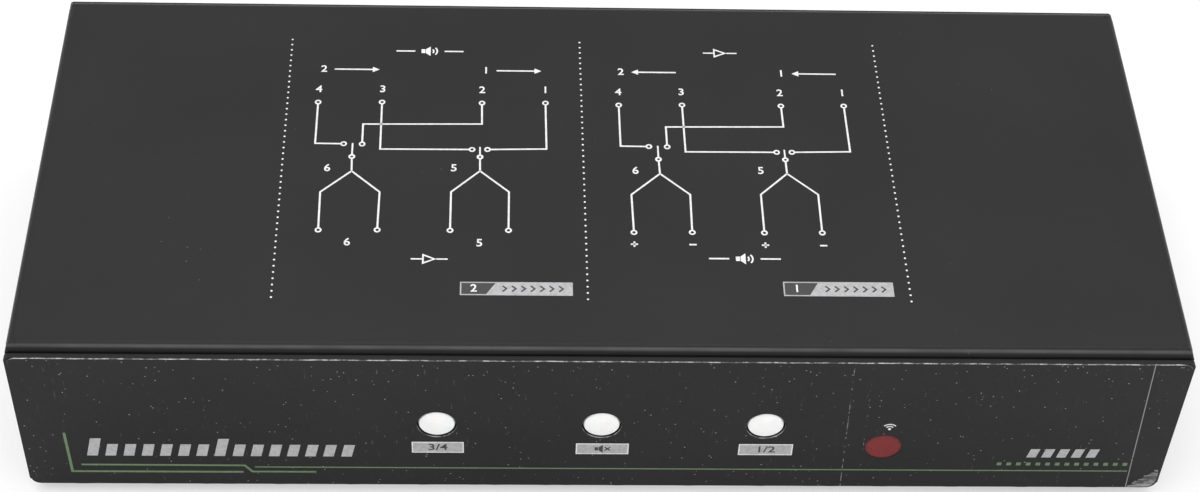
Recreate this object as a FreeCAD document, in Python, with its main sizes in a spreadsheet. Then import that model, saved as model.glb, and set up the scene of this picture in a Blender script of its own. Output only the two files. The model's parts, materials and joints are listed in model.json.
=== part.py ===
import FreeCAD, Part
import math
import os
import re
import Sketcher

# A speaker selector switch: a flat folded-steel box with three push buttons and an infrared
# window in front, and six pairs of screw terminals at the back.
# X runs along the front from left to right, Y from the front to the back and Z up.
# The origin is the middle of the whole part's footprint, on the surface it stands on.

# Each driving size: its name, its number in millimetres and what it measures.
SIZES = (
    ("box_width", 205.0, "steel box over its front wall"),
    ("box_depth", 90.5, "steel box over its front and rear walls"),
    ("box_height", 36.5, "steel box from its bottom to its cover's top"),
    ("metal", 1.0, "thickness of the folded sheet"),
    ("bend_radius", 1.5, "outer radius of every fold"),
    ("wall_drop", 1.5, "front and rear walls end this far below the cover's top"),
    ("wall_corner", 1.6, "rounding of the walls' lower corners"),
    ("wall_top_corner", 0.8, "rounding of the walls' upper corners"),
    ("cover_inset", 0.2, "cover's sides lie this far inside the ends of the walls"),
    ("cover_gap", 0.15, "clearance between the cover's lips and the walls"),
    ("side_gap", 0.2, "clearance between the cover's sides and the bottom"),
    ("side_lift", 0.4, "cover's sides end this far above the box's bottom"),
    ("lip_height", 4.5, "cover's front and rear lips"),
    ("corner_notch", 1.8, "relief cut in each corner of the cover"),
    ("tab_length", 14.0, "side tabs of the chassis"),
    ("tab_height", 13.0, "side tabs of the chassis"),
    ("tab_spread", 52.0, "between the two tabs of one side"),
    ("tab_relief", 0.8, "relief cut at each end of a tab"),
    ("screw_rise", 8.0, "cover screws above the box's bottom"),
    ("screw_radius", 1.45, "shank of the small screws"),
    ("screw_head_radius", 2.75, "head of the small screws"),
    ("screw_head", 1.8, "height of a screw head"),
    ("screw_length", 6.0, "shank of a cover screw"),
    ("screw_gap", 0.1, "clearance round a screw's shank"),
    ("recess_width", 0.7, "cross recess in a screw head"),
    ("recess_span", 2.8, "cross recess in a screw head"),
    ("recess_sink", 0.9, "cross recess in a screw head"),
    ("clinch_radius", 2.8, "clinch nuts on the tabs"),
    ("clinch_length", 3.0, "clinch nuts on the tabs"),
    ("foot_height", 2.5, "rubber feet"),
    ("foot_radius", 5.0, "rubber feet where they stick to the box"),
    ("foot_taper", 0.6, "feet are this much smaller below"),
    ("foot_inset", 13.0, "feet from the ends and walls of the box"),
    ("film", 0.25, "thickness of the printed front film"),
    ("film_inset", 0.5, "film ends this far inside the ends and the top of the front wall"),
    ("film_low", 1.6, "film's lower edge above the box's bottom"),
    ("film_corner", 1.6, "rounding of the film's corners"),
    ("button_pitch", 29.1, "between two push buttons"),
    ("button_rise", 17.5, "push buttons above the box's bottom"),
    ("button_radius", 3.2, "push button cap"),
    ("button_dome", 0.3, "rounding of the cap's front edge"),
    ("button_gap", 0.3, "clearance round a push button"),
    ("button_recess", 0.6, "cap's face behind the film's face"),
    ("button_travel", 0.3, "stroke of a push button"),
    ("collar_radius", 4.2, "collar that keeps a cap behind the wall"),
    ("collar_thickness", 0.8, "collar of a push button"),
    ("collar_gap", 0.4, "between the wall and a collar at rest"),
    ("stem_radius", 1.75, "switch plunger"),
    ("stem_gap", 0.05, "clearance round a plunger"),
    ("stem_socket", 1.0, "plunger's seat in the cap"),
    ("switch_width", 6.0, "body of a push switch"),
    ("switch_depth", 3.5, "body of a push switch"),
    ("switch_well", 2.6, "plunger's bore in the switch body"),
    ("led_width", 3.5, "indicator lamp"),
    ("led_height", 2.8, "indicator lamp"),
    ("led_depth", 1.9, "indicator lamp"),
    ("led_shift", 5.3, "indicator lamp beside its switch"),
    ("window_x", 50.7, "infrared window from the middle"),
    ("window_rise", 11.7, "infrared window above the box's bottom"),
    ("window_radius", 3.3, "infrared window"),
    ("window_gap", 0.05, "clearance round the infrared window"),
    ("window_sink", 0.1, "window's face behind the film's face"),
    ("window_flange", 0.8, "flange behind the wall"),
    ("window_flange_radius", 4.6, "flange behind the wall"),
    ("eye_width", 7.0, "infrared receiver"),
    ("eye_height", 6.5, "infrared receiver"),
    ("eye_depth", 3.2, "infrared receiver's block"),
    ("eye_radius", 2.4, "infrared receiver's dome"),
    ("spacer_length", 6.5, "front board's spacers"),
    ("spacer_radius", 2.5, "front board's spacers"),
    ("spacer_left", 41.0, "left spacers from the middle"),
    ("spacer_right", 59.6, "right spacers from the middle"),
    ("spacer_low", 8.5, "lower spacers above the box's bottom"),
    ("spacer_high", 26.5, "upper spacers above the box's bottom"),
    ("board", 1.6, "thickness of both circuit boards"),
    ("board_margin", 4.5, "board beyond its spacers"),
    ("board_screw_length", 5.0, "screws of the front board"),
    ("post_pitch", 14.5, "between two posts of a group"),
    ("group_gap", 3.0, "more room between the three groups of four posts"),
    ("post_rise", 11.0, "posts above the box's bottom"),
    ("flange_radius", 6.0, "insulating flange of a post"),
    ("flange_length", 3.0, "insulating flange of a post"),
    ("neck_radius", 3.4, "neck of the flange in the rear wall"),
    ("neck_length", 0.8, "neck of the flange in the rear wall"),
    ("neck_gap", 0.1, "clearance round the neck"),
    ("tail_radius", 2.0, "threaded tail of a post"),
    ("tail_gap", 0.05, "clearance round the tail"),
    ("tail_end", 1.0, "tail beyond its last nut"),
    ("stud_radius", 3.0, "threaded body of a post"),
    ("stud_length", 16.0, "threaded body of a post"),
    ("socket_radius", 2.0, "bore for a plug"),
    ("socket_depth", 13.0, "bore for a plug"),
    ("wire_hole_radius", 1.0, "cross hole for bare wire"),
    ("wire_hole_rise", 1.9, "cross hole above the flange"),
    ("face_gap", 0.05, "between the faces of a closed terminal"),
    ("ring_radius", 4.6, "clamp ring"),
    ("ring_thickness", 1.0, "clamp ring"),
    ("ring_gap", 0.08, "clearance between clamp ring and stud"),
    ("cap_radius", 6.0, "screw cap"),
    ("cap_length", 15.5, "screw cap"),
    ("cap_gap", 0.05, "clearance between screw cap and stud"),
    ("cap_chamfer", 0.6, "chamfers of the screw cap"),
    ("groove_width", 1.3, "grip groove of the screw cap"),
    ("groove_sink", 0.55, "grip groove of the screw cap"),
    ("groove_count", 10, "grip grooves of one screw cap"),
    ("insulator_radius", 5.0, "inner insulating washer"),
    ("insulator_length", 2.0, "inner insulating washer"),
    ("nut_flats", 7.0, "across the flats of a post nut"),
    ("nut_length", 3.0, "post nut"),
    ("rear_board_inset", 5.0, "rear board's ends inside the ends of the box"),
    ("rear_board_low", 3.0, "rear board above the box's bottom"),
    ("rear_board_drop", 3.5, "rear board below the cover's top sheet"),
    ("parts_drop", 8.0, "row of parts below the rear board's upper edge"),
    ("relay_width", 20.5, "relay"),
    ("relay_depth", 11.5, "relay"),
    ("relay_height", 10.1, "relay"),
    ("relay_edge", 0.8, "chamfer of a relay's case"),
    ("relay_start", 16.75, "first relay on each side of the middle"),
    ("relay_pitch", 21.5, "between two relays"),
    ("can_radius", 3.15, "capacitor"),
    ("can_length", 11.2, "capacitor"),
    ("can_edge", 0.5, "chamfer of a capacitor's can"),
    ("can_pitch", 7.0, "between the capacitors"),
    ("can_shift", 21.0, "capacitors left of the power socket"),
    ("chips_inset", 14.5, "controller chip from the left end of the box"),
    ("chip_step", 13.5, "between the two chips"),
    ("big_chip_width", 12.8, "controller chip"),
    ("small_chip_width", 10.0, "driver chip"),
    ("chip_height", 3.9, "chips between their legs"),
    ("chip_depth", 1.5, "chips"),
    ("leg_reach", 1.05, "chip legs"),
    ("leg_width", 0.45, "chip legs"),
    ("leg_pitch", 1.27, "between two chip legs"),
    ("regulator_shift", 10.3, "voltage regulator left of the power socket"),
    ("regulator_width", 6.0, "voltage regulator"),
    ("regulator_height", 6.1, "voltage regulator"),
    ("regulator_depth", 2.3, "voltage regulator"),
    ("regulator_tab", 1.2, "regulator's metal tab above its case"),
    ("tab_plate", 0.5, "regulator's metal tab"),
    ("diode_width", 4.5, "diode"),
    ("diode_height", 2.6, "diode"),
    ("diode_depth", 2.2, "diode"),
    ("diode_edge", 0.3, "diode"),
    ("diode_pitch", 3.2, "between two diodes, one above the other"),
    ("diode_step", 5.0, "between two diodes side by side"),
    ("diode_x", 54.0, "diodes left of the middle"),
    ("connector_width", 12.0, "flexible cable's connector"),
    ("connector_height", 5.4, "flexible cable's connector"),
    ("connector_depth", 2.5, "flexible cable's connector"),
    ("connector_mouth", 1.5, "cable's seat in its connector"),
    ("mouth_gap", 0.05, "clearance round the cable in its connector"),
    ("flex_width", 8.0, "flexible cable"),
    ("flex_thickness", 0.3, "flexible cable"),
    ("flex_straight", 7.0, "flexible cable straight out of a connector"),
    ("flex_slope", 13.0, "flexible cable along each slope"),
    ("flex_dip", 9.0, "flexible cable's sag"),
    ("flex_bend", 5.0, "flexible cable's bends"),
    ("jack_inset", 10.5, "power socket from the right end of the box"),
    ("jack_drop", 1.0, "power socket's nut below the cover's rear lip"),
    ("jack_notch", 1.5, "rear board's corner clear of the barrel"),
    ("jack_flange_radius", 6.5, "power socket"),
    ("jack_flange", 2.0, "power socket"),
    ("jack_radius", 5.5, "threaded barrel of the power socket"),
    ("jack_length", 8.0, "threaded barrel behind the wall's outer face"),
    ("jack_gap", 0.1, "clearance round the barrel"),
    ("jack_tail_radius", 4.5, "socket's tail"),
    ("jack_tail", 3.0, "socket's tail"),
    ("jack_bore", 3.1, "socket's bore"),
    ("jack_bore_depth", 9.5, "socket's bore"),
    ("jack_pin_radius", 1.05, "socket's centre pin"),
    ("jack_pin_sink", 1.0, "centre pin's tip behind the socket's face"),
    ("jack_nut_flats", 14.0, "socket's nut"),
    ("jack_nut_length", 2.0, "socket's nut"),
    ("lug_width", 3.0, "socket's solder lugs"),
    ("lug_reach", 3.4, "socket's solder lugs"),
    ("lug_thickness", 0.4, "socket's solder lugs"),
)

VALUE = {name: number for name, number, meaning in SIZES}

doc = FreeCAD.newDocument("speaker_selector")
sheet = doc.addObject("Spreadsheet::Sheet", "sizes")
for row, (name, number, meaning) in enumerate(SIZES, start=1):
    sheet.set(f"A{row}", name)
    sheet.set(f"B{row}", str(number))
    sheet.setAlias(f"B{row}", name)
    sheet.set(f"C{row}", meaning)
doc.recompute()

# Places that several pieces share, as formulas of the driving sizes.
# The box's own frame starts at the middle of its front wall's lower edge.
POST_REACH = "(flange_length + ring_thickness + cap_length + 2 * face_gap)"
FRONT_Y = f"((film - box_depth - {POST_REACH}) / 2)"
WALL_TOP = "(box_height - wall_drop)"
COVER_HALF = "(box_width / 2 - cover_inset)"
BOTTOM_HALF = "(box_width / 2 - cover_inset - metal - side_gap)"
LIP_START = "(metal + cover_gap)"
LIP_END = "(box_depth - metal - cover_gap)"
INNER_BEND = "(bend_radius - metal)"
HOLE_RADIUS = "(button_radius + button_gap)"
WINDOW_HOLE = "(window_radius + window_gap)"
SHANK_HOLE = "(screw_radius + screw_gap)"
FRONT_BOARD_Y = "(metal + spacer_length)"
CAP_FACE_Y = "(button_recess - film)"
COLLAR_Y = "(metal + collar_gap)"
SWITCH_Y = f"({FRONT_BOARD_Y} - switch_depth)"
STEM_TIP_Y = f"({SWITCH_Y} - stem_socket - button_travel - collar_gap / 2)"
CAP_END_Y = f"({STEM_TIP_Y} + stem_socket)"
INSULATOR_Y = "(box_depth - metal - insulator_length)"
PANEL_NUT_Y = f"({INSULATOR_Y} - nut_length)"
REAR_BOARD_Y = f"({PANEL_NUT_Y} - board)"
BOARD_NUT_Y = f"({REAR_BOARD_Y} - nut_length)"
BOARD_TOP = "(box_height - metal - rear_board_drop)"
PARTS_RISE = f"({BOARD_TOP} - parts_drop)"
JACK_X = "(box_width / 2 - jack_inset)"
JACK_RISE = "(box_height - lip_height - jack_drop - jack_nut_flats / 2)"


def cells(formula):
    """Point each size's name in a formula at its cell of the sheet."""
    def pointed(found):
        name = found.group()
        return f"sizes.{name}" if name in VALUE else name

    return re.sub(r"[a-z_]+", pointed, formula)


def number(formula):
    """The present value of a formula, to draw first and to search by."""
    return float(sheet.evalExpression(formula))


def bind(piece, **formulas):
    """Tie an object's properties to formulas."""
    for prop, formula in formulas.items():
        piece.setExpression(prop, cells(formula))


def place(piece, x="0", y="0", z="0"):
    """Set a piece's own origin at a point of the box's frame."""
    piece.setExpression("Placement.Base.x", cells(x))
    piece.setExpression("Placement.Base.y", cells(f"{FRONT_Y} + {y}"))
    piece.setExpression("Placement.Base.z", cells(f"foot_height + {z}"))
    return piece


def turn(piece, axis, angle):
    """Turn a piece about an axis through its own origin."""
    piece.Placement = FreeCAD.Placement(piece.Placement.Base, FreeCAD.Rotation(FreeCAD.Vector(*axis), angle))
    return piece


def new_body(label):
    body = doc.addObject("PartDesign::Body", f"body_{label}")
    body.Label = label
    return body


def new_sketch(body, role, offset="0"):
    """A sketch on one of the body's own origin planes, moved along that plane's normal."""
    sketch = body.newObject("Sketcher::SketchObject", f"sketch_{body.Label}")
    support = [item for item in body.Origin.OriginFeatures if item.Role == role][0]
    sketch.AttachmentSupport = (support, "")
    sketch.MapMode = "FlatFace"
    sketch.setExpression("AttachmentOffset.Base.z", cells(offset))
    return sketch


def hold(sketch, kind, item, point, formula):
    """Hold one coordinate of a sketch point at a formula, or on the sketch's axis where it is zero."""
    if formula == "0":
        axis = -2 if kind == "DistanceX" else -1
        sketch.addConstraint(Sketcher.Constraint("PointOnObject", item, point, axis))
        return
    index = sketch.addConstraint(Sketcher.Constraint(kind, -1, 1, item, point, number(formula)))
    sketch.setExpression(f"Constraints[{index}]", cells(formula))


def add_loop(sketch, corners):
    """A closed outline of straight lines through corners given as two formulas each."""
    spots = [FreeCAD.Vector(number(x), number(y), 0) for x, y in corners]
    first = sketch.GeometryCount
    count = len(spots)
    for i in range(count):
        sketch.addGeometry(Part.LineSegment(spots[i], spots[(i + 1) % count]), False)
    for i in range(count):
        after = first + (i + 1) % count
        sketch.addConstraint(Sketcher.Constraint("Coincident", first + i, 2, after, 1))
    for i, (x, y) in enumerate(corners):
        hold(sketch, "DistanceX", first + i, 1, x)
        hold(sketch, "DistanceY", first + i, 1, y)


def add_box(sketch, x0, y0, x1, y1):
    add_loop(sketch, [(x0, y0), (x1, y0), (x1, y1), (x0, y1)])


def add_circle(sketch, x, y, radius):
    centre = FreeCAD.Vector(number(x), number(y), 0)
    item = sketch.addGeometry(Part.Circle(centre, FreeCAD.Vector(0, 0, 1), number(radius)), False)
    hold(sketch, "DistanceX", item, 3, x)
    hold(sketch, "DistanceY", item, 3, y)
    index = sketch.addConstraint(Sketcher.Constraint("Radius", item, number(radius)))
    sketch.setExpression(f"Constraints[{index}]", cells(radius))


def feature(body, kind, sketch, length, reverse=False, middle=False):
    """A pad or pocket of a sketch, checked to have changed the body's volume."""
    before = body.Tip.Shape.Volume if body.Tip else 0.0
    made = body.newObject(f"PartDesign::{kind}", f"{kind}_{body.Label}")
    made.Profile = sketch
    made.Reversed = reverse
    made.Midplane = middle
    bind(made, Length=length)
    doc.recompute()
    grown = made.Shape.Volume - before
    if (grown <= 0) if kind == "Pad" else (grown >= 0):
        raise RuntimeError(f"{made.Label} changed nothing")
    return made


def edges_at(shape, direction, spots):
    """Names of the straight edges along a direction that pass through the given places.

    Each place maps a coordinate's letter to a formula."""
    wanted = [[(axis, number(formula)) for axis, formula in spot.items()] for spot in spots]
    way = FreeCAD.Vector(*(1.0 if axis == direction else 0.0 for axis in "xyz"))
    found = []
    for index, edge in enumerate(shape.Edges, start=1):
        ends = [vertex.Point for vertex in edge.Vertexes]
        if len(ends) != 2 or abs(abs((ends[1] - ends[0]).dot(way)) - edge.Length) > 1e-6:
            continue
        middle = (ends[0] + ends[1]) * 0.5
        if any(all(abs(getattr(middle, axis) - value) < 1e-4 for axis, value in spot) for spot in wanted):
            found.append(f"Edge{index}")
    return found


def soften(body, kind, lines, **sizes):
    """Fillet or chamfer straight edges. Each entry is a direction and the places it is met at."""
    base = body.Tip
    names = [name for direction, spots in lines for name in edges_at(base.Shape, direction, spots)]
    if not names:
        raise RuntimeError(f"{body.Label} has no edge at {lines}")
    made = body.newObject(f"PartDesign::{kind}", f"{kind}_{body.Label}")
    made.Base = (base, names)
    bind(made, **sizes)
    doc.recompute()
    return made


def turned_piece(label, corners, x="0", y="0", z="0"):
    """A piece turned about its own Y axis, from corners of radius and place along that axis."""
    body = new_body(label)
    outline = new_sketch(body, "XY_Plane")
    add_loop(outline, corners)
    made = body.newObject("PartDesign::Revolution", f"turned_{label}")
    made.Profile = outline
    made.ReferenceAxis = (outline, ["V_Axis"])
    made.Angle = 360
    doc.recompute()
    return place(body, x, y, z)


def block(x, y, z, width, depth, height):
    """A plain block between its left, front and lower corner and the opposite one."""
    made = doc.addObject("Part::Box", "block")
    bind(made, Length=width, Width=depth, Height=height)
    return place(made, x, y, z)


def rod(x, y, z, radius, length):
    """A plain cylinder that runs backwards along Y from the given point."""
    made = turn(doc.addObject("Part::Cylinder", "rod"), (1, 0, 0), -90)
    bind(made, Radius=radius, Height=length)
    return place(made, x, y, z)


def hexagon(x, y, z, flats, length):
    """A hexagonal prism that runs backwards along Y from the given point."""
    made = turn(doc.addObject("Part::Prism", "hexagon"), (1, 0, 0), -90)
    made.Polygon = 6
    bind(made, Circumradius=f"{flats} / sqrt(3)", Height=length)
    return place(made, x, y, z)


def fuse(*pieces):
    made = doc.addObject("Part::MultiFuse", "joined")
    made.Shapes = list(pieces)
    return made


def cut(base, *tools):
    made = doc.addObject("Part::Cut", "cut")
    made.Base = base
    made.Tool = tools[0] if len(tools) == 1 else fuse(*tools)
    return made


def chamfered(base, size, direction=None):
    """Break the edges of a block that run along one direction, or the round edges of a rod."""
    doc.recompute()
    picked = []
    for index, edge in enumerate(base.Shape.Edges, start=1):
        if direction is None:
            wanted = isinstance(edge.Curve, Part.Circle)
        else:
            way = FreeCAD.Vector(*direction)
            wanted = abs(abs(edge.tangentAt(edge.FirstParameter).dot(way)) - 1) < 1e-6
        if wanted:
            picked.append((index, number(size), number(size)))
    made = doc.addObject("Part::Chamfer", "broken_edges")
    made.Base = base
    made.Edges = picked
    return made


def group(label, pieces):
    """Identical or joined small solids that share one node."""
    made = doc.addObject("Part::Compound", f"group_{label}")
    made.Label = label
    made.Links = pieces
    return made


def at_own_origin(piece, x="0", y="0", z="0"):
    """Set a piece at a point of the frame of what it becomes a part of."""
    for axis, formula in zip("xyz", (x, y, z)):
        piece.setExpression(f"Placement.Base.{axis}", cells(formula))
    return piece


def screw(x, y, z, length, turned=0):
    """A pan-head screw with a cross recess. Its shank runs backwards from the given point."""
    head = at_own_origin(rod("0", "0", "0", "screw_head_radius", "screw_head"))
    shank = at_own_origin(rod("0", "0", "0", "screw_radius", length), y="screw_head")
    slot = block("0", "0", "0", "recess_width", "recess_sink", "recess_span")
    at_own_origin(slot, x="-recess_width / 2", z="-recess_span / 2")
    cross = block("0", "0", "0", "recess_span", "recess_sink", "recess_width")
    at_own_origin(cross, x="-recess_span / 2", z="-recess_width / 2")
    made = turn(cut(fuse(head, shank), slot, cross), (0, 0, 1), turned)
    return place(made, x, y, z)


def button_x(index):
    """The middle button is on the box's own middle."""
    return "0" if index == 1 else f"({index - 1} * button_pitch)"


def post_places():
    """Terminal number, colour and x of every post, from the left to the right."""
    colours = ("red", "black")
    for step in range(12):
        terminal, side = divmod(step, 2)
        group_step = terminal // 2 - 1
        x = f"({step - 5.5} * post_pitch + {group_step} * group_gap)"
        yield terminal + 1, colours[side], x


def make_chassis():
    """Front wall, bottom and rear wall folded from one sheet, with four tabs for the cover."""
    body = new_body("chassis")
    side = new_sketch(body, "YZ_Plane")
    back = "box_depth - metal"
    add_loop(side, [("0", "0"), ("box_depth", "0"), ("box_depth", WALL_TOP), (back, WALL_TOP),
                    (back, "metal"), ("metal", "metal"), ("metal", WALL_TOP), ("0", WALL_TOP)])
    feature(body, "Pad", side, "box_width", middle=True)
    outer = [{"y": "0", "z": "0"}, {"y": "box_depth", "z": "0"}]
    inner = [{"y": "metal", "z": "metal"}, {"y": back, "z": "metal"}]
    soften(body, "Fillet", [("x", outer)], Radius="bend_radius")
    soften(body, "Fillet", [("x", inner)], Radius=INNER_BEND)

    # The bottom is narrower than the walls, so that the cover's sides pass it.
    strips = new_sketch(body, "XY_Plane")
    for sign in ("", "-"):
        add_box(strips, f"{sign}{BOTTOM_HALF}", "metal", f"{sign}box_width", back)
    feature(body, "Pocket", strips, "2 * bend_radius", reverse=True)

    # Rounded lower corners of both walls.
    corners = new_sketch(body, "XZ_Plane")
    for sign in (1, -1):
        add_corner(corners, sign)
    feature(body, "Pocket", corners, "box_depth")
    upper = [{"x": f"{sign} * box_width / 2", "z": WALL_TOP} for sign in (1, -1)]
    soften(body, "Fillet", [("y", upper)], Radius="wall_top_corner")

    # Side tabs: the bottom is notched for them, and each is folded up from its edge.
    tab_middles = [f"(box_depth / 2 + {way} * tab_spread / 2)" for way in (-1, 1)]
    notches = new_sketch(body, "XY_Plane")
    for middle in tab_middles:
        for sign in ("", "-"):
            add_box(notches, f"{sign}({BOTTOM_HALF} - bend_radius)", f"{middle} - tab_length / 2 - tab_relief",
                    f"{sign}box_width", f"{middle} + tab_length / 2 + tab_relief")
    feature(body, "Pocket", notches, "bend_radius", reverse=True)
    for middle in tab_middles:
        tabs = new_sketch(body, "XZ_Plane", offset=f"-({middle} - tab_length / 2)")
        for sign in ("", "-"):
            root = f"{sign}({BOTTOM_HALF} - bend_radius)"
            outer = f"{sign}{BOTTOM_HALF}"
            inner = f"{sign}({BOTTOM_HALF} - metal)"
            add_loop(tabs, [(root, "0"), (outer, "0"), (outer, "tab_height"), (inner, "tab_height"),
                            (inner, "metal"), (root, "metal")])
        feature(body, "Pad", tabs, "tab_length", reverse=True)
    outside = [{"x": f"{sign} * {BOTTOM_HALF}", "y": middle, "z": "0"}
               for sign in (1, -1) for middle in tab_middles]
    inside = [{"x": f"{sign} * ({BOTTOM_HALF} - metal)", "y": middle, "z": "metal"}
              for sign in (1, -1) for middle in tab_middles]
    soften(body, "Fillet", [("y", outside)], Radius="bend_radius")
    soften(body, "Fillet", [("y", inside)], Radius=INNER_BEND)
    screws = new_sketch(body, "YZ_Plane")
    for middle in tab_middles:
        add_circle(screws, middle, "screw_rise", SHANK_HOLE)
    feature(body, "Pocket", screws, "2 * box_width", middle=True)

    # Holes of the front wall.
    front = new_sketch(body, "XZ_Plane")
    for index in range(3):
        add_circle(front, button_x(index), "button_rise", HOLE_RADIUS)
    add_circle(front, "window_x", "window_rise", WINDOW_HOLE)
    feature(body, "Pocket", front, "metal")

    # Holes of the rear wall.
    rear = new_sketch(body, "XZ_Plane", offset="-box_depth")
    for terminal, colour, x in post_places():
        add_circle(rear, x, "post_rise", "neck_radius + neck_gap")
    add_circle(rear, JACK_X, JACK_RISE, "jack_radius + jack_gap")
    feature(body, "Pocket", rear, "metal", reverse=True)
    return place(body)


def add_corner(sketch, sign):
    """The waste outside one rounded lower corner of a wall: two lines and an arc."""
    edge, radius = number("box_width / 2"), number("wall_corner")
    corner = FreeCAD.Vector(sign * edge, 0, 0)
    high = FreeCAD.Vector(sign * edge, radius, 0)
    low = FreeCAD.Vector(sign * (edge - radius), 0, 0)
    centre = FreeCAD.Vector(sign * (edge - radius), radius, 0)
    start, end = (-math.pi / 2, 0) if sign > 0 else (math.pi, 1.5 * math.pi)
    circle = Part.Circle(centre, FreeCAD.Vector(0, 0, 1), radius)
    first = sketch.addGeometry(Part.LineSegment(corner, high), False)
    sketch.addGeometry(Part.ArcOfCircle(circle, start, end), False)
    sketch.addGeometry(Part.LineSegment(low, corner), False)
    arc, base = first + 1, first + 2
    arc_low, arc_high = (1, 2) if sign > 0 else (2, 1)
    sketch.addConstraint(Sketcher.Constraint("Tangent", first, 2, arc, arc_high))
    sketch.addConstraint(Sketcher.Constraint("Tangent", arc, arc_low, base, 1))
    sketch.addConstraint(Sketcher.Constraint("Coincident", base, 2, first, 1))
    sketch.addConstraint(Sketcher.Constraint("Vertical", first))
    sketch.addConstraint(Sketcher.Constraint("Horizontal", base))
    hold(sketch, "DistanceX", first, 1, f"{sign} * box_width / 2")
    hold(sketch, "DistanceY", first, 1, "0")
    index = sketch.addConstraint(Sketcher.Constraint("Radius", arc, radius))
    sketch.setExpression(f"Constraints[{index}]", cells("wall_corner"))


def make_cover():
    """Top and both sides folded from one sheet, with a short lip in front and behind."""
    body = new_body("top_cover")
    outside = new_sketch(body, "XY_Plane", offset="side_lift")
    add_box(outside, f"-{COVER_HALF}", LIP_START, COVER_HALF, LIP_END)
    feature(body, "Pad", outside, "box_height - side_lift")
    soften_top(body, COVER_HALF, LIP_START, LIP_END, "box_height", "bend_radius")
    hollow = new_sketch(body, "XY_Plane", offset="side_lift")
    inner = f"({COVER_HALF} - metal)"
    near, far = f"({LIP_START} + metal)", f"({LIP_END} - metal)"
    add_box(hollow, f"-{inner}", near, inner, far)
    feature(body, "Pocket", hollow, "box_height - side_lift - metal", reverse=True)
    soften_top(body, inner, near, far, "(box_height - metal)", INNER_BEND)

    # Below the lips the front and the back stay open.
    opening = new_sketch(body, "XZ_Plane")
    add_box(opening, f"-{inner}", "side_lift / 2", inner, "box_height - lip_height")
    feature(body, "Pocket", opening, "2 * box_depth", middle=True)

    # Relief cuts where the folds meet.
    slots = new_sketch(body, "XY_Plane", offset="box_height")
    notches = new_sketch(body, "XY_Plane", offset="box_height")
    for sign in ("", "-"):
        for start, end in ((LIP_START, f"{LIP_START} + corner_notch"), (f"{LIP_END} - corner_notch", LIP_END)):
            add_box(slots, f"{sign}({COVER_HALF} - corner_notch)", start, f"{sign}{inner}", end)
            add_box(notches, f"{sign}{inner}", start, f"{sign}box_width", end)
    feature(body, "Pocket", slots, "lip_height + metal")
    feature(body, "Pocket", notches, "bend_radius")

    holes = new_sketch(body, "YZ_Plane")
    for way in (-1, 1):
        add_circle(holes, f"box_depth / 2 + {way} * tab_spread / 2", "screw_rise", SHANK_HOLE)
    feature(body, "Pocket", holes, "2 * box_width", middle=True)
    return place(body)


def soften_top(body, half, near, far, height, radius):
    """Round the four folds between the top and what hangs from it, on one side of the sheet."""
    sides = [{"x": f"{sign} * {half}", "z": height} for sign in (1, -1)]
    ends = [{"y": near, "z": height}, {"y": far, "z": height}]
    soften(body, "Fillet", [("y", sides), ("x", ends)], Radius=radius)


def make_film():
    """The printed film on the front wall, with holes for the buttons and the window."""
    body = new_body("front_film")
    outline = new_sketch(body, "XZ_Plane", offset="film")
    right = "(box_width / 2 - film_inset)"
    top = f"({WALL_TOP} - film_inset)"
    add_box(outline, f"-{right}", "film_low", right, top)
    for index in range(3):
        add_circle(outline, button_x(index), "button_rise", HOLE_RADIUS)
    add_circle(outline, "window_x", "window_rise", WINDOW_HOLE)
    feature(body, "Pad", outline, "film", reverse=True)
    corners = [{"x": f"{sign} * {right}", "z": z} for sign in (1, -1) for z in ("film_low", top)]
    soften(body, "Fillet", [("y", corners)], Radius="film_corner")
    return place(body)


def make_fasteners():
    """Cover screws with their clinch nuts, and the stick-on feet."""
    screws, nuts, feet = [], [], []
    for sign in (-1, 1):
        for way in (-1, 1):
            y = f"(box_depth / 2 + {way} * tab_spread / 2)"
            head_x = f"({sign} * ({COVER_HALF} + screw_head))"
            screws.append(screw(head_x, y, "screw_rise", "screw_length", turned=sign * 90))
            start = f"({sign} * ({BOTTOM_HALF} - metal))"
            outer, bore = (rod(start, y, "screw_rise", radius, "clinch_length")
                           for radius in ("clinch_radius", SHANK_HOLE))
            nuts.append(cut(*(turn(piece, (0, 1, 0), -sign * 90) for piece in (outer, bore))))
            foot = doc.addObject("Part::Cone", "foot")
            bind(foot, Radius1="foot_radius - foot_taper", Radius2="foot_radius", Height="foot_height")
            foot_y = f"(box_depth / 2 + {way} * (box_depth / 2 - foot_inset))"
            feet.append(place(foot, f"({sign} * (box_width / 2 - foot_inset))", foot_y, "-foot_height"))
    group("cover_screws", screws)
    group("clinch_nuts", nuts)
    group("rubber_feet", feet)


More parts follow.
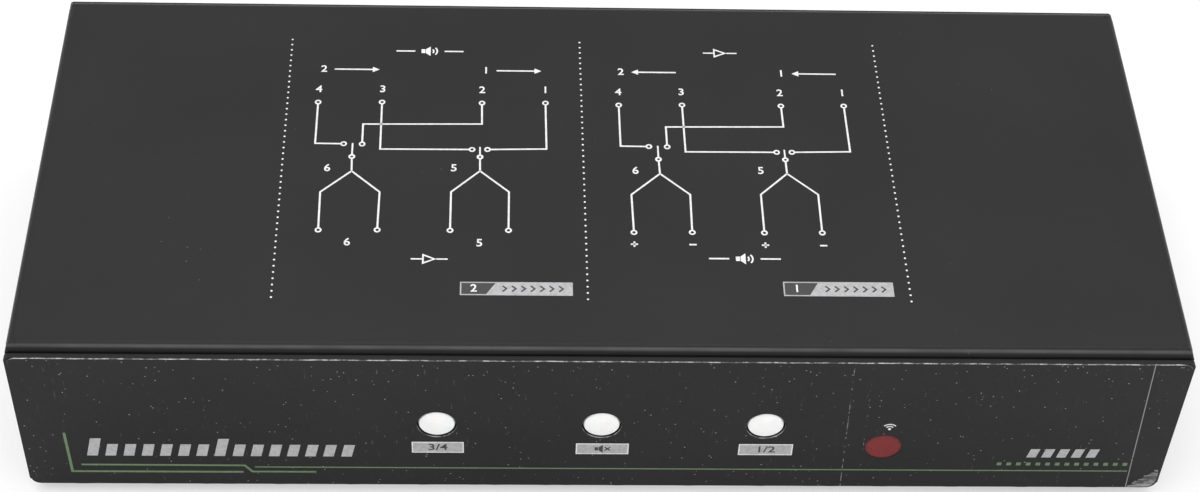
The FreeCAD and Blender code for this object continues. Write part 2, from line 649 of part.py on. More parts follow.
def make_front_electronics():
    """The board behind the front wall, with its switches, lamps and infrared receiver."""
    body = new_body("front_board")
    outline = new_sketch(body, "XZ_Plane", offset=f"-{FRONT_BOARD_Y}")
    add_box(outline, "-(spacer_left + board_margin)", "spacer_low - board_margin",
            "spacer_right + board_margin", "spacer_high + board_margin")
    spacer_places = [(x, z) for x in ("-spacer_left", "spacer_right") for z in ("spacer_low", "spacer_high")]
    for x, z in spacer_places:
        add_circle(outline, x, z, SHANK_HOLE)
    feature(body, "Pad", outline, "board", reverse=True)
    place(body)

    spacers, screws = [], []
    for x, z in spacer_places:
        sleeve = rod(x, "metal", z, "spacer_radius", "spacer_length")
        spacers.append(cut(sleeve, rod(x, "metal", z, SHANK_HOLE, "spacer_length")))
        back = f"({FRONT_BOARD_Y} + board + screw_head)"
        screws.append(screw(x, back, z, "board_screw_length", turned=180))
    group("board_spacers", spacers)
    group("board_screws", screws)

    bodies, lamps = [], []
    for index in range(3):
        x = button_x(index)
        corner = f"({x} - switch_width / 2)"
        case = block(corner, SWITCH_Y, "button_rise - switch_width / 2",
                     "switch_width", "switch_depth", "switch_width")
        well = rod(x, SWITCH_Y, "button_rise", "stem_radius + stem_gap", "switch_well")
        bodies.append(cut(case, well))
        lamp_x = f"({x} + led_shift - led_width / 2)"
        lamps.append(block(lamp_x, f"({FRONT_BOARD_Y} - led_depth)", "button_rise - led_height / 2",
                           "led_width", "led_depth", "led_height"))
    group("switch_bodies", bodies)
    group("status_lamps", lamps)

    case = block("window_x - eye_width / 2", f"({FRONT_BOARD_Y} - eye_depth)", "window_rise - eye_height / 2",
                 "eye_width", "eye_depth", "eye_height")
    dome = doc.addObject("Part::Sphere", "dome")
    bind(dome, Radius="eye_radius")
    place(dome, "window_x", f"({FRONT_BOARD_Y} - eye_depth)", "window_rise")
    fuse(case, dome).Label = "infrared_receiver"

    face_y = "(window_sink - film)"
    turned_piece("infrared_window", [
        ("0", face_y), ("window_radius", face_y), ("window_radius", "metal"),
        ("window_flange_radius", "metal"), ("window_flange_radius", "metal + window_flange"),
        ("0", "metal + window_flange")], x="window_x", z="window_rise")


def make_button(name, index):
    """A cap with its collar, and the switch plunger that it is pressed on."""
    turned_piece(f"button_{name}", [
        ("0", CAP_FACE_Y), ("button_radius - button_dome", CAP_FACE_Y),
        ("button_radius", f"{CAP_FACE_Y} + button_dome"), ("button_radius", COLLAR_Y),
        ("collar_radius", COLLAR_Y), ("collar_radius", f"{COLLAR_Y} + collar_thickness"),
        ("button_radius", f"{COLLAR_Y} + collar_thickness"), ("button_radius", CAP_END_Y),
        ("stem_radius + stem_gap", CAP_END_Y), ("stem_radius + stem_gap", STEM_TIP_Y),
        ("0", STEM_TIP_Y)], x=button_x(index), z="button_rise")
    end = f"({SWITCH_Y} + switch_well - button_travel - stem_gap)"
    turned_piece(f"plunger_{name}", [
        ("0", STEM_TIP_Y), ("stem_radius", STEM_TIP_Y), ("stem_radius", end), ("0", end)],
        x=button_x(index), z="button_rise")


def make_posts():
    """Twelve terminal posts: flange, stud, washer, two nuts, clamp ring and screw cap each."""
    studs, flanges, washers, nuts = [], {"red": [], "black": []}, [], []
    for terminal, colour, x in post_places():
        tail_y = f"({BOARD_NUT_Y} - tail_end - box_depth)"
        mouth = "(flange_length + stud_length)"
        stud = turned_piece(f"stud_{terminal}_{colour}", [
            ("0", tail_y), ("tail_radius", tail_y), ("tail_radius", "flange_length"),
            ("stud_radius", "flange_length"), ("stud_radius", mouth), ("socket_radius", mouth),
            ("socket_radius", f"{mouth} - socket_depth"), ("0", f"{mouth} - socket_depth")],
            x=x, y="box_depth", z="post_rise")
        hole = new_sketch(stud, "XY_Plane")
        add_circle(hole, "0", "flange_length + wire_hole_rise", "wire_hole_radius")
        feature(stud, "Pocket", hole, "4 * stud_radius", middle=True)
        studs.append(stud)
        bore = "tail_radius + tail_gap"
        flanges[colour].append(turned_piece(f"flange_{terminal}_{colour}", [
            (bore, "-neck_length"), ("neck_radius", "-neck_length"), ("neck_radius", "0"),
            ("flange_radius", "0"), ("flange_radius", "flange_length"), (bore, "flange_length")],
            x=x, y="box_depth", z="post_rise"))
        washers.append(cut(rod(x, INSULATOR_Y, "post_rise", "insulator_radius", "insulator_length"),
                           rod(x, INSULATOR_Y, "post_rise", bore, "insulator_length")))
        for nut_y in (PANEL_NUT_Y, BOARD_NUT_Y):
            nuts.append(cut(hexagon(x, nut_y, "post_rise", "nut_flats", "nut_length"),
                            rod(x, nut_y, "post_rise", bore, "nut_length")))
        make_screw_cap(terminal, colour, x)
    group("post_studs", studs)
    group("red_flanges", flanges["red"])
    group("black_flanges", flanges["black"])
    group("inner_washers", washers)
    group("post_nuts", nuts)


def make_screw_cap(terminal, colour, x):
    """The clamp ring, which only slides, and the grooved cap, which turns and slides."""
    near = "(flange_length + face_gap)"
    far = f"({near} + ring_thickness)"
    bore = "stud_radius + ring_gap"
    turned_piece(f"ring_{terminal}_{colour}", [
        (bore, near), ("ring_radius", near), ("ring_radius", far), (bore, far)],
        x=x, y="box_depth", z="post_rise")

    start = f"({far} + face_gap)"
    end = f"({start} + cap_length)"
    bore = "stud_radius + cap_gap"
    cap = turned_piece(f"cap_{terminal}_{colour}", [
        (bore, start), ("cap_radius - cap_chamfer", start), ("cap_radius", f"{start} + cap_chamfer"),
        ("cap_radius", f"{end} - cap_chamfer"), ("cap_radius - cap_chamfer", end), (bore, end)],
        x=x, y="box_depth", z="post_rise")
    groove = new_sketch(cap, "XZ_Plane", offset=f"-{start}")
    sunk = "(cap_radius - groove_sink)"
    add_loop(groove, [("-groove_width / 2", "cap_radius + groove_sink"), ("-groove_width / 4", sunk),
                      ("groove_width / 4", sunk), ("groove_width / 2", "cap_radius + groove_sink")])
    pocket = feature(cap, "Pocket", groove, "cap_length - 2 * cap_chamfer")
    pattern = cap.newObject("PartDesign::PolarPattern", f"grooves_{terminal}_{colour}")
    pattern.Originals = [pocket]
    pattern.Axis = ([item for item in cap.Origin.OriginFeatures if item.Role == "Y_Axis"][0], [""])
    pattern.Angle = 360
    bind(pattern, Occurrences="groove_count")
    cap.Tip = pattern


def chip(label, width, legs, step):
    """A flat chip on the rear board, with two rows of legs."""
    middle = f"({step} * chip_step + chips_inset - box_width / 2)"
    low = f"{PARTS_RISE} - chip_height / 2"
    pieces = [block(f"{middle} - {width} / 2", f"({REAR_BOARD_Y} - chip_depth)", low,
                    width, "chip_depth", "chip_height")]
    for leg in range(legs):
        x = f"{middle} + {leg - (legs - 1) / 2} * leg_pitch - leg_width / 2"
        pieces.append(block(x, f"({REAR_BOARD_Y} - leg_width)", f"{low} - leg_reach",
                            "leg_width", "leg_width", "chip_height + 2 * leg_reach"))
    fuse(*pieces).Label = label


def make_rear_electronics():
    """The board on the posts' tails, with four relays and their driving parts."""
    body = new_body("rear_board")
    outline = new_sketch(body, "XZ_Plane", offset=f"-{REAR_BOARD_Y}")
    end = "(box_width / 2 - rear_board_inset)"
    notch_x = f"({JACK_X} - jack_radius - jack_notch)"
    notch_z = f"({JACK_RISE} - jack_radius - jack_notch)"
    add_loop(outline, [(f"-{end}", "rear_board_low"), (end, "rear_board_low"), (end, notch_z),
                       (notch_x, notch_z), (notch_x, BOARD_TOP), (f"-{end}", BOARD_TOP)])
    for terminal, colour, x in post_places():
        add_circle(outline, x, "post_rise", "tail_radius + tail_gap")
    feature(body, "Pad", outline, "board", reverse=True)
    place(body)

    relays = []
    for side in (-1, 1):
        for step in range(2):
            middle = f"{side} * (relay_start + {step} * relay_pitch)"
            case = block(f"{middle} - relay_width / 2", f"({REAR_BOARD_Y} - relay_depth)",
                         f"{PARTS_RISE} - relay_height / 2", "relay_width", "relay_depth", "relay_height")
            relays.append(chamfered(case, "relay_edge", (0, 1, 0)))
    group("relays", relays)

    cans = []
    for side in (-1, 1):
        x = f"({JACK_X} - can_shift + {side} * can_pitch / 2)"
        can = rod(x, f"({REAR_BOARD_Y} - can_length)", PARTS_RISE, "can_radius", "can_length")
        cans.append(chamfered(can, "can_edge"))
    group("capacitors", cans)
    chip("controller_chip", "big_chip_width", 9, 0)
    chip("driver_chip", "small_chip_width", 7, 1)

    left = f"{JACK_X} - regulator_shift - regulator_width / 2"
    low = f"{PARTS_RISE} - regulator_height / 2"
    case = block(left, f"({REAR_BOARD_Y} - regulator_depth)", low, "regulator_width", "regulator_depth",
                 "regulator_height")
    tab = block(f"{left} + regulator_tab / 2", f"({REAR_BOARD_Y} - tab_plate)", low,
                "regulator_width - regulator_tab", "tab_plate", "regulator_height + regulator_tab")
    legs = block(f"{left} + regulator_tab", f"({REAR_BOARD_Y} - tab_plate)", f"{low} - 2 * regulator_tab",
                 "tab_plate", "tab_plate", "regulator_height")
    other = block(f"{left} + regulator_width - regulator_tab - tab_plate",
                  f"({REAR_BOARD_Y} - tab_plate)", f"{low} - 2 * regulator_tab", "tab_plate", "tab_plate",
                  "regulator_height")
    fuse(case, tab, legs, other).Label = "voltage_regulator"

    diodes = []
    for way in (-1, 1):
        for side in (-1, 1):
            z = f"{PARTS_RISE} + {way} * diode_pitch / 2 - diode_height / 2"
            x = f"{side} * diode_step / 2 - diode_x - diode_width / 2"
            case = block(x, f"({REAR_BOARD_Y} - diode_depth)", z, "diode_width", "diode_depth", "diode_height")
            diodes.append(chamfered(case, "diode_edge", (0, 0, 1)))
    group("flyback_diodes", diodes)


def make_flexible_cable():
    """The flat cable between the two boards and its two connectors."""
    front = f"({FRONT_BOARD_Y} + board + connector_depth)"
    rear = f"({REAR_BOARD_Y} - connector_depth)"
    connectors = []
    for corner, mouth in ((f"{FRONT_BOARD_Y} + board", f"{front} - connector_mouth"), (rear, rear)):
        case = block("-connector_width / 2", corner, f"{PARTS_RISE} - connector_height / 2",
                     "connector_width", "connector_depth", "connector_height")
        slot = block("-flex_width / 2 - mouth_gap", mouth, f"{PARTS_RISE} - flex_thickness / 2 - mouth_gap",
                     "flex_width + 2 * mouth_gap", "connector_mouth", "flex_thickness + 2 * mouth_gap")
        connectors.append(cut(case, slot))
    group("cable_connectors", connectors)

    body = new_body("flat_cable")
    route = new_sketch(body, "YZ_Plane")
    high = "(flex_thickness / 2)"
    start, end = f"({front} - connector_mouth)", f"({rear} + connector_mouth)"
    turns = [(f"{front} + flex_straight", "0"), (f"{front} + flex_straight + flex_slope", "-flex_dip"),
             (f"{rear} - flex_straight - flex_slope", "-flex_dip"), (f"{rear} - flex_straight", "0")]
    upper = [(start, high)] + [(y, f"{z} + {high}") for y, z in turns] + [(end, high)]
    lower = [(y, f"{z} - flex_thickness") for y, z in reversed(upper)]
    add_loop(route, upper + lower)
    feature(body, "Pad", route, "flex_width", middle=True)
    spots = [{"y": y, "z": f"{z} + {way} * {high}"} for y, z in turns for way in (-1, 1)]
    soften(body, "Fillet", [("x", spots)], Radius="flex_bend")
    place(body, z=PARTS_RISE)


def make_power_socket():
    """The round power socket in the rear wall, its nut and its contacts."""
    floor = "(jack_flange - jack_bore_depth)"
    tail = "(-jack_length - jack_tail)"
    turned_piece("power_socket", [
        ("0", tail), ("jack_tail_radius", tail), ("jack_tail_radius", "-jack_length"),
        ("jack_radius", "-jack_length"), ("jack_radius", "0"), ("jack_flange_radius", "0"),
        ("jack_flange_radius", "jack_flange"), ("jack_bore", "jack_flange"), ("jack_bore", floor),
        ("0", floor)],
        x=JACK_X, y="box_depth", z=JACK_RISE)
    nut_y = "(box_depth - metal - jack_nut_length)"
    nut = cut(hexagon(JACK_X, nut_y, JACK_RISE, "jack_nut_flats", "jack_nut_length"),
              rod(JACK_X, nut_y, JACK_RISE, "jack_radius + jack_gap / 2", "jack_nut_length"))
    nut.Label = "power_socket_nut"
    pin_y = f"(box_depth + {floor})"
    pin = rod(JACK_X, pin_y, JACK_RISE, "jack_pin_radius", "jack_bore_depth - jack_pin_sink")
    lugs = []
    for way in (-1, 1):
        low = f"{JACK_RISE} + {way} * (jack_tail_radius + lug_reach / 2) - lug_reach / 2"
        lugs.append(block(f"{JACK_X} - lug_width / 2", "(box_depth - jack_length - lug_thickness)", low,
                          "lug_width", "lug_thickness", "lug_reach"))
    group("power_contacts", [pin] + lugs)


make_chassis()
make_cover()
make_film()
make_fasteners()
make_front_electronics()
for index, name in enumerate(("left", "middle", "right")):
    make_button(name, index)
make_posts()
make_rear_electronics()
make_flexible_cable()
make_power_socket()
doc.recompute()

# Every object is sound before a file is written.
for item in doc.Objects:
    if "Invalid" in item.State or "Error" in item.State:
        raise RuntimeError(f"{item.Label} failed: {item.State}")

SHARED = re.compile(r"(stud|flange)_\d")
nodes = []
for item in doc.Objects:
    if item.Label == item.Name or item.TypeId == "Spreadsheet::Sheet" or not hasattr(item, "Shape"):
        continue
    if item.TypeId.startswith(("PartDesign::Body", "Part::")) and not SHARED.match(item.Label):
        nodes.append(item)

os.makedirs("parts", exist_ok=True)
for node in nodes:
    shape = node.Shape
    if shape.isNull() or not shape.isValid() or not shape.Solids:
        raise RuntimeError(f"{node.Label} has no sound solid")
    shape.exportStep(f"parts/{node.Label}.step")
    print(f"{node.Label}: {len(shape.Solids)} solid(s), {shape.Volume:.1f} mm3")
print(len(nodes), "nodes")
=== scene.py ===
"""Speaker selector switch: finishes, film, cap faces, printed marks, a floor, light and a camera."""

import json
import math

import bmesh
import bpy
from mathutils import Matrix, Vector


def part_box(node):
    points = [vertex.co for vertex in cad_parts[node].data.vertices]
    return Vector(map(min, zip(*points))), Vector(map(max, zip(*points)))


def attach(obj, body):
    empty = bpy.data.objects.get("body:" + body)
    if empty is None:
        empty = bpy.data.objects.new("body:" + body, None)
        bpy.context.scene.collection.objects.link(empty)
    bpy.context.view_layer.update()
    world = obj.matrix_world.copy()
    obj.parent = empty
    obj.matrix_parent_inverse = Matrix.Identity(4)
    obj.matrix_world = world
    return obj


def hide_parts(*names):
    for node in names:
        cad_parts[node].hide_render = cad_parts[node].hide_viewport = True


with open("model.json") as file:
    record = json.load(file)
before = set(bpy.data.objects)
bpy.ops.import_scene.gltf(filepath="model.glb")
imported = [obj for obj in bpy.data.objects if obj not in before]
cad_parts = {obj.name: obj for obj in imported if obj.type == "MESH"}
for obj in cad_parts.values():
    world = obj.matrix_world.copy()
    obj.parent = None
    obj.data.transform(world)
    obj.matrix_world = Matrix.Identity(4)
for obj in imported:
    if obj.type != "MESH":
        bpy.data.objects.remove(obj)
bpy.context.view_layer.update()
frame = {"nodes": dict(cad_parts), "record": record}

MM = 0.001

# Places that the print and the added pieces go by, read from the frame, in millimetres


def span(node):
    """The lowest and highest corner of a CAD node, in millimetres."""
    low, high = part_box(node)
    return low / MM, high / MM


cover_low, cover_high = span("top_cover")
chassis_low, chassis_high = span("chassis")
film_low, film_high = span("front_film")
window_low, window_high = span("infrared_window")
socket_low, socket_high = span("power_socket")

TOP_Z = cover_high.z
BOX_MIDDLE_Y = (chassis_low.y + chassis_high.y) / 2
FILM_FACE_Y = film_low.y
REAR_FACE_Y = chassis_high.y
BOX_BOTTOM_Z = chassis_low.z
WINDOW_X = (window_low.x + window_high.x) / 2
WINDOW_Z = (window_low.z + window_high.z) / 2

# Thickness of the ink: it stands out of the surface by this much and goes in by a third of it
INK = 0.03

# The painted highlight along the cover's front and rear folds: its way in from the lips, and its half width
# where it is plain and where it has faded out
FOLD_SHINE = 0.6
FOLD_PLAIN = 0.1
FOLD_FADED = 0.36

# Creases down the film: where each meets the ground, its lean, and how plain it is
CREASES = ((96.88, -0.0417, 1.0), (44.24, -0.0307, 0.35), (47.55, -0.0307, 0.1))

# One turn of the studs' thread
THREAD_PITCH = 1.0

GOLD = (0.8, 0.56, 0.22)
BUTTON_NAMES = ("left", "middle", "right")


def button_centre(name):
    """A push button's axis: across from the middle, and up from the box's lower edge, in millimetres."""
    low, high = span(f"button_{name}")
    return (low.x + high.x) / 2, (low.z + high.z) / 2 - BOX_BOTTOM_Z


def post_centre(terminal, colour):
    """The axis of a terminal post on the rear wall, as x and z in millimetres."""
    low, high = span(f"cap_{terminal}_{colour}")
    return (low.x + high.x) / 2, (low.z + high.z) / 2


# Materials


class Finish:
    """A material with one Principled shader, and short calls for the nodes that feed it."""

    def __init__(self, name, color, roughness, metallic=0.0, **constants):
        self.material = bpy.data.materials.new(name)
        self.material.use_nodes = True
        self.tree = self.material.node_tree
        self.shader = self.tree.nodes["Principled BSDF"]
        self.shader.inputs["Base Color"].default_value = (*color, 1.0)
        self.shader.inputs["Roughness"].default_value = roughness
        self.shader.inputs["Metallic"].default_value = metallic
        for socket, value in constants.items():
            self.shader.inputs[socket.replace("_", " ")].default_value = value
        self.place = self.add("ShaderNodeTexCoord").outputs["Object"]
        self.material.diffuse_color = (*color, 1.0)

    def add(self, kind, **settings):
        node = self.tree.nodes.new(kind)
        for key, value in settings.items():
            setattr(node, key, value)
        return node

    def link(self, source, target):
        self.tree.links.new(source, target)

    def stretched(self, scale):
        """Object coordinates, scaled apart along each axis."""
        node = self.add("ShaderNodeMapping")
        node.inputs["Scale"].default_value = scale
        self.link(self.place, node.inputs["Vector"])
        return node.outputs["Vector"]

    def noise(self, scale, detail=2.0, roughness=0.5, vector=None):
        """Noise from 0 to 1. Scale is in cycles per metre."""
        node = self.add("ShaderNodeTexNoise")
        node.inputs["Scale"].default_value = scale
        node.inputs["Detail"].default_value = detail
        node.inputs["Roughness"].default_value = roughness
        self.link(vector or self.place, node.inputs["Vector"])
        return node.outputs["Fac"]

    def cells(self, scale):
        """Distance to the nearest of a cloud of points, and its colour. Scale is in points per metre."""
        node = self.add("ShaderNodeTexVoronoi")
        node.inputs["Scale"].default_value = scale
        self.link(self.place, node.inputs["Vector"])
        return node.outputs["Distance"], node.outputs["Color"]

    def ramp(self, value, low, high, start=0.0, end=1.0):
        """Maps low..high to start..end, and holds the ends."""
        node = self.add("ShaderNodeMapRange")
        node.inputs["From Min"].default_value = low
        node.inputs["From Max"].default_value = high
        node.inputs["To Min"].default_value = start
        node.inputs["To Max"].default_value = end
        self.link(value, node.inputs["Value"])
        return node.outputs["Result"]

    def math(self, operation, first, second=0.0):
        """One sum on numbers or sockets."""
        node = self.add("ShaderNodeMath", operation=operation)
        for socket, value in zip(node.inputs, (first, second)):
            if isinstance(value, (int, float)):
                socket.default_value = value
            else:
                self.link(value, socket)
        return node.outputs["Value"]

    def axes(self):
        """Object coordinates as three numbers, in metres."""
        node = self.add("ShaderNodeSeparateXYZ")
        self.link(self.place, node.inputs["Vector"])
        return node.outputs["X"], node.outputs["Y"], node.outputs["Z"]

    def mix(self, factor, base, over):
        """Colour base, with colour over laid on it where factor is 1."""
        node = self.add("ShaderNodeMix", data_type="RGBA")
        self.link(factor, node.inputs["Factor"])
        for socket, value in ((node.inputs[6], base), (node.inputs[7], over)):
            if isinstance(value, tuple):
                socket.default_value = (*value, 1.0)
            else:
                self.link(value, socket)
        return node.outputs[2]

    def color(self, source):
        self.link(source, self.shader.inputs["Base Color"])

    def rough(self, source):
        self.link(source, self.shader.inputs["Roughness"])

    def bump(self, height, distance):
        """Relief of the given height, in millimetres."""
        node = self.add("ShaderNodeBump")
        node.inputs["Distance"].default_value = distance * MM
        self.link(height, node.inputs["Height"])
        self.link(node.outputs["Normal"], self.shader.inputs["Normal"])


# Finishes


def black_steel():
    """Fine satin powder coat on sheet steel: faint clouds, a few dust specks, and a painted highlight along
    the upper folds.
    """
    finish = Finish("black_steel", (0.008, 0.008, 0.0083), 0.4, Specular_IOR_Level=0.2)
    clouds = finish.ramp(finish.noise(28.0, 3.0), 0.3, 0.7)
    coat = finish.mix(clouds, (0.0065, 0.0065, 0.0068), (0.0095, 0.0095, 0.0098))

    near, _ = finish.cells(420.0)
    dust = finish.ramp(near, 0.05, 0.035)
    patches = finish.ramp(finish.noise(60.0, 1.0), 0.6, 0.7)
    coat = finish.mix(finish.math("MULTIPLY", dust, patches), coat, (0.16, 0.16, 0.16))

    # Painted highlight: the coat is lighter along the top's front and rear folds, broken up by noise.
    _, y, z = finish.axes()
    fold_at = (cover_high.y - cover_low.y) / 2 - FOLD_SHINE
    away = finish.math("ABSOLUTE", finish.math("SUBTRACT", y, BOX_MIDDLE_Y * MM))
    beside = finish.math("ABSOLUTE", finish.math("SUBTRACT", away, fold_at * MM))
    line = finish.ramp(beside, FOLD_FADED * MM, FOLD_PLAIN * MM)
    on_top = finish.ramp(z, (TOP_Z - 1.0) * MM, (TOP_Z - 0.8) * MM)
    fold_highlight = finish.math("MULTIPLY", line, on_top)
    fold_highlight_break = finish.ramp(finish.noise(90.0), 0.3, 0.6, 0.55, 1.0)
    finish.color(finish.mix(finish.math("MULTIPLY", fold_highlight, fold_highlight_break), coat, (0.063, 0.063, 0.063)))

    grain = finish.noise(3200.0)
    finish.rough(finish.ramp(grain, 0.3, 0.7, 0.36, 0.5))
    finish.bump(grain, 0.006)
    return finish.material


def printed_film():
    """Satin plastic film, dark grey, scratched, creased and dusty."""
    finish = Finish("printed_film", (0.012, 0.012, 0.0125), 0.45, Specular_IOR_Level=0.15)
    x, _, z = finish.axes()
    clouds = finish.ramp(finish.noise(35.0, 3.0), 0.3, 0.7)
    body = finish.mix(clouds, (0.0105, 0.0105, 0.011), (0.0135, 0.0135, 0.014))

    near, _ = finish.cells(900.0)
    high = finish.ramp(z, (film_high.z - 4.0) * MM, film_high.z * MM, 0.0, 0.12)
    chance = finish.math("ADD", finish.noise(500.0, 1.0), high)
    specks = finish.math("MULTIPLY", finish.ramp(near, 0.13, 0.08), finish.ramp(chance, 0.53, 0.59))
    body = finish.mix(finish.math("MULTIPLY", specks, 0.7), body, (0.4, 0.4, 0.4))

    along = finish.noise(1.0, 3.0, 0.6, finish.stretched((3000.0, 60.0, 300.0)))
    scratches = finish.math("MULTIPLY", finish.ramp(along, 0.69, 0.74), 0.16)
    body = finish.mix(scratches, body, (0.35, 0.35, 0.35))

    for foot, lean, strength in CREASES:
        line = finish.math("SUBTRACT", x, finish.math("MULTIPLY", z, lean))
        beside = finish.math("ABSOLUTE", finish.math("SUBTRACT", line, foot * MM))
        broken = finish.ramp(finish.noise(1100.0, 3.0, 0.7), 0.62 - 0.3 * strength, 0.66 - 0.3 * strength)
        crease = finish.math("MULTIPLY", finish.ramp(beside, 0.11 * MM, 0.06 * MM), broken)
        body = finish.mix(finish.math("MULTIPLY", crease, 0.4 + 0.4 * strength), body, (0.3, 0.3, 0.3))
    finish.color(body)

    grain = finish.noise(2400.0)
    finish.rough(finish.ramp(finish.math("ADD", grain, scratches), 0.3, 0.8, 0.34, 0.55))
    finish.bump(grain, 0.005)
    return finish.material


def moulded(name, color, roughness, grain=1500.0, relief=0.004):
    """Moulded plastic or rubber: a fine grain, and slightly uneven colour and gloss."""
    spread = 0.12
    finish = Finish(name, color, roughness)
    dark = tuple(c * (1 - spread) for c in color)
    light = tuple(min(1.0, c * (1 + spread)) for c in color)
    finish.color(finish.mix(finish.ramp(finish.noise(180.0), 0.3, 0.7), dark, light))
    speckle = finish.noise(grain)
    finish.rough(finish.ramp(speckle, 0.3, 0.7, roughness - 0.06, roughness + 0.08))
    finish.bump(speckle, relief)
    return finish.material


def plated(name, color, roughness, spread=0.08):
    """Plated or bare metal with fine tool marks and a little tarnish."""
    finish = Finish(name, color, roughness, 1.0)
    dark = tuple(c * (1 - 2 * spread) for c in color)
    light = tuple(min(1.0, c * (1 + spread)) for c in color)
    finish.color(finish.mix(finish.ramp(finish.noise(240.0, 3.0), 0.35, 0.65), dark, light))
    marks = finish.noise(900.0)
    finish.rough(finish.ramp(marks, 0.3, 0.7, roughness - 0.05, roughness + 0.08))
    finish.bump(marks, 0.002)
    return finish.material


def red_window():
    """Smoked red plastic, darker and greyer toward its rim."""
    finish = Finish("red_window", (0.165, 0.016, 0.017), 0.3, IOR=1.49, Specular_IOR_Level=0.2)
    x, _, z = finish.axes()
    across = finish.math("SUBTRACT", x, WINDOW_X * MM)
    up = finish.math("SUBTRACT", z, WINDOW_Z * MM)
    squares = finish.math("ADD", finish.math("MULTIPLY", across, across), finish.math("MULTIPLY", up, up))
    away = finish.math("SQRT", squares)
    rim = finish.ramp(away, 2.8 * MM, 3.3 * MM)
    haze = finish.noise(900.0, 3.0)
    body = finish.mix(finish.ramp(haze, 0.3, 0.7), (0.15, 0.014, 0.015), (0.19, 0.018, 0.019))
    finish.color(finish.mix(rim, body, (0.07, 0.01, 0.011)))
    finish.rough(finish.ramp(haze, 0.3, 0.7, 0.26, 0.36))
    finish.bump(haze, 0.003)
    return finish.material


def white_cap():
    """Milky white plastic."""
    color = (0.88, 0.88, 0.87)
    finish = Finish("white_cap", color, 0.38, Subsurface_Weight=0.25, Subsurface_Scale=0.0006)
    cloud = finish.ramp(finish.noise(700.0), 0.3, 0.7)
    finish.color(finish.mix(cloud, (0.85, 0.85, 0.845), (0.9, 0.9, 0.89)))
    fine = finish.noise(2600.0)
    finish.rough(finish.ramp(fine, 0.3, 0.7, 0.34, 0.46))
    finish.bump(fine, 0.003)
    return finish.material


def green_board():
    """Glass-fibre board under solder mask, its weave and tracks faintly showing."""
    finish = Finish("green_board", (0.02, 0.13, 0.05), 0.3)
    _, marks = finish.cells(160.0)
    lines = finish.add("ShaderNodeSeparateColor")
    finish.link(marks, lines.inputs["Color"])
    tracks = finish.ramp(lines.outputs["Red"], 0.62, 0.64)
    finish.color(finish.mix(tracks, (0.016, 0.11, 0.042), (0.03, 0.17, 0.065)))
    weave = finish.noise(2000.0, 1.0)
    finish.bump(finish.math("ADD", tracks, finish.math("MULTIPLY", weave, 0.3)), 0.02)
    return finish.material


def ink(name, color, roughness=0.45):
    """Screen-printed ink: slightly broken colour, no shine of its own."""
    finish = Finish(name, color, roughness)
    worn = finish.ramp(finish.noise(1600.0, 3.0), 0.35, 0.65)
    finish.color(finish.mix(worn, tuple(c * 0.8 for c in color), color))
    finish.bump(finish.noise(4200.0, 1.0), 0.003)
    return finish.material


def cut_edge():
    """The film's cut edge: milky plastic, with a painted glint in broken light patches and dark between."""
    finish = Finish("cut_edge", (0.3, 0.3, 0.3), 0.4)
    broken = finish.ramp(finish.noise(650.0, 4.0, 0.75), 0.42, 0.6)
    finish.color(finish.mix(broken, (0.05, 0.05, 0.05), (0.5, 0.5, 0.5)))
    finish.bump(finish.noise(1800.0), 0.02)
    return finish.material


def flake():
    """Film rubbed bare and whitish, with dark streaks along its torn edge."""
    finish = Finish("flake", (0.2, 0.2, 0.2), 0.5)
    slanted = finish.add("ShaderNodeMapping")
    slanted.inputs["Rotation"].default_value = (0.0, math.radians(48.0), 0.0)
    slanted.inputs["Scale"].default_value = (260.0, 60.0, 1300.0)
    finish.link(finish.place, slanted.inputs["Vector"])
    streaks = finish.ramp(finish.noise(1.0, 4.0, 0.7, slanted.outputs["Vector"]), 0.42, 0.56)
    finish.color(finish.mix(streaks, (0.03, 0.03, 0.03), (0.26, 0.26, 0.26)))
    finish.bump(streaks, 0.02)
    return finish.material


def threaded_gold():
    """Gilt thread: ridges along the post, tarnished between, and none inside the plug bore."""
    finish = Finish("gold_thread", GOLD, 0.24, 1.0)
    _, y, z = finish.axes()
    facing = finish.add("ShaderNodeSeparateXYZ")
    finish.link(finish.add("ShaderNodeTexCoord").outputs["Normal"], facing.inputs["Vector"])
    rise = finish.math("SUBTRACT", z, post_centre(1, "red")[1] * MM)
    outward = finish.math("MULTIPLY", rise, facing.outputs["Z"])
    outside = finish.ramp(outward, -0.05 * MM, 0.0)
    wave = finish.math("SINE", finish.math("MULTIPLY", y, 2 * math.pi / (THREAD_PITCH * MM)))
    groove = finish.math("MULTIPLY", finish.ramp(wave, 0.2, -1.0), outside)
    finish.color(finish.mix(groove, GOLD, tuple(c * 0.45 for c in GOLD)))
    finish.rough(finish.ramp(finish.noise(900.0), 0.3, 0.7, 0.2, 0.32))
    finish.bump(finish.math("MULTIPLY", wave, outside), 0.16)
    return finish.material


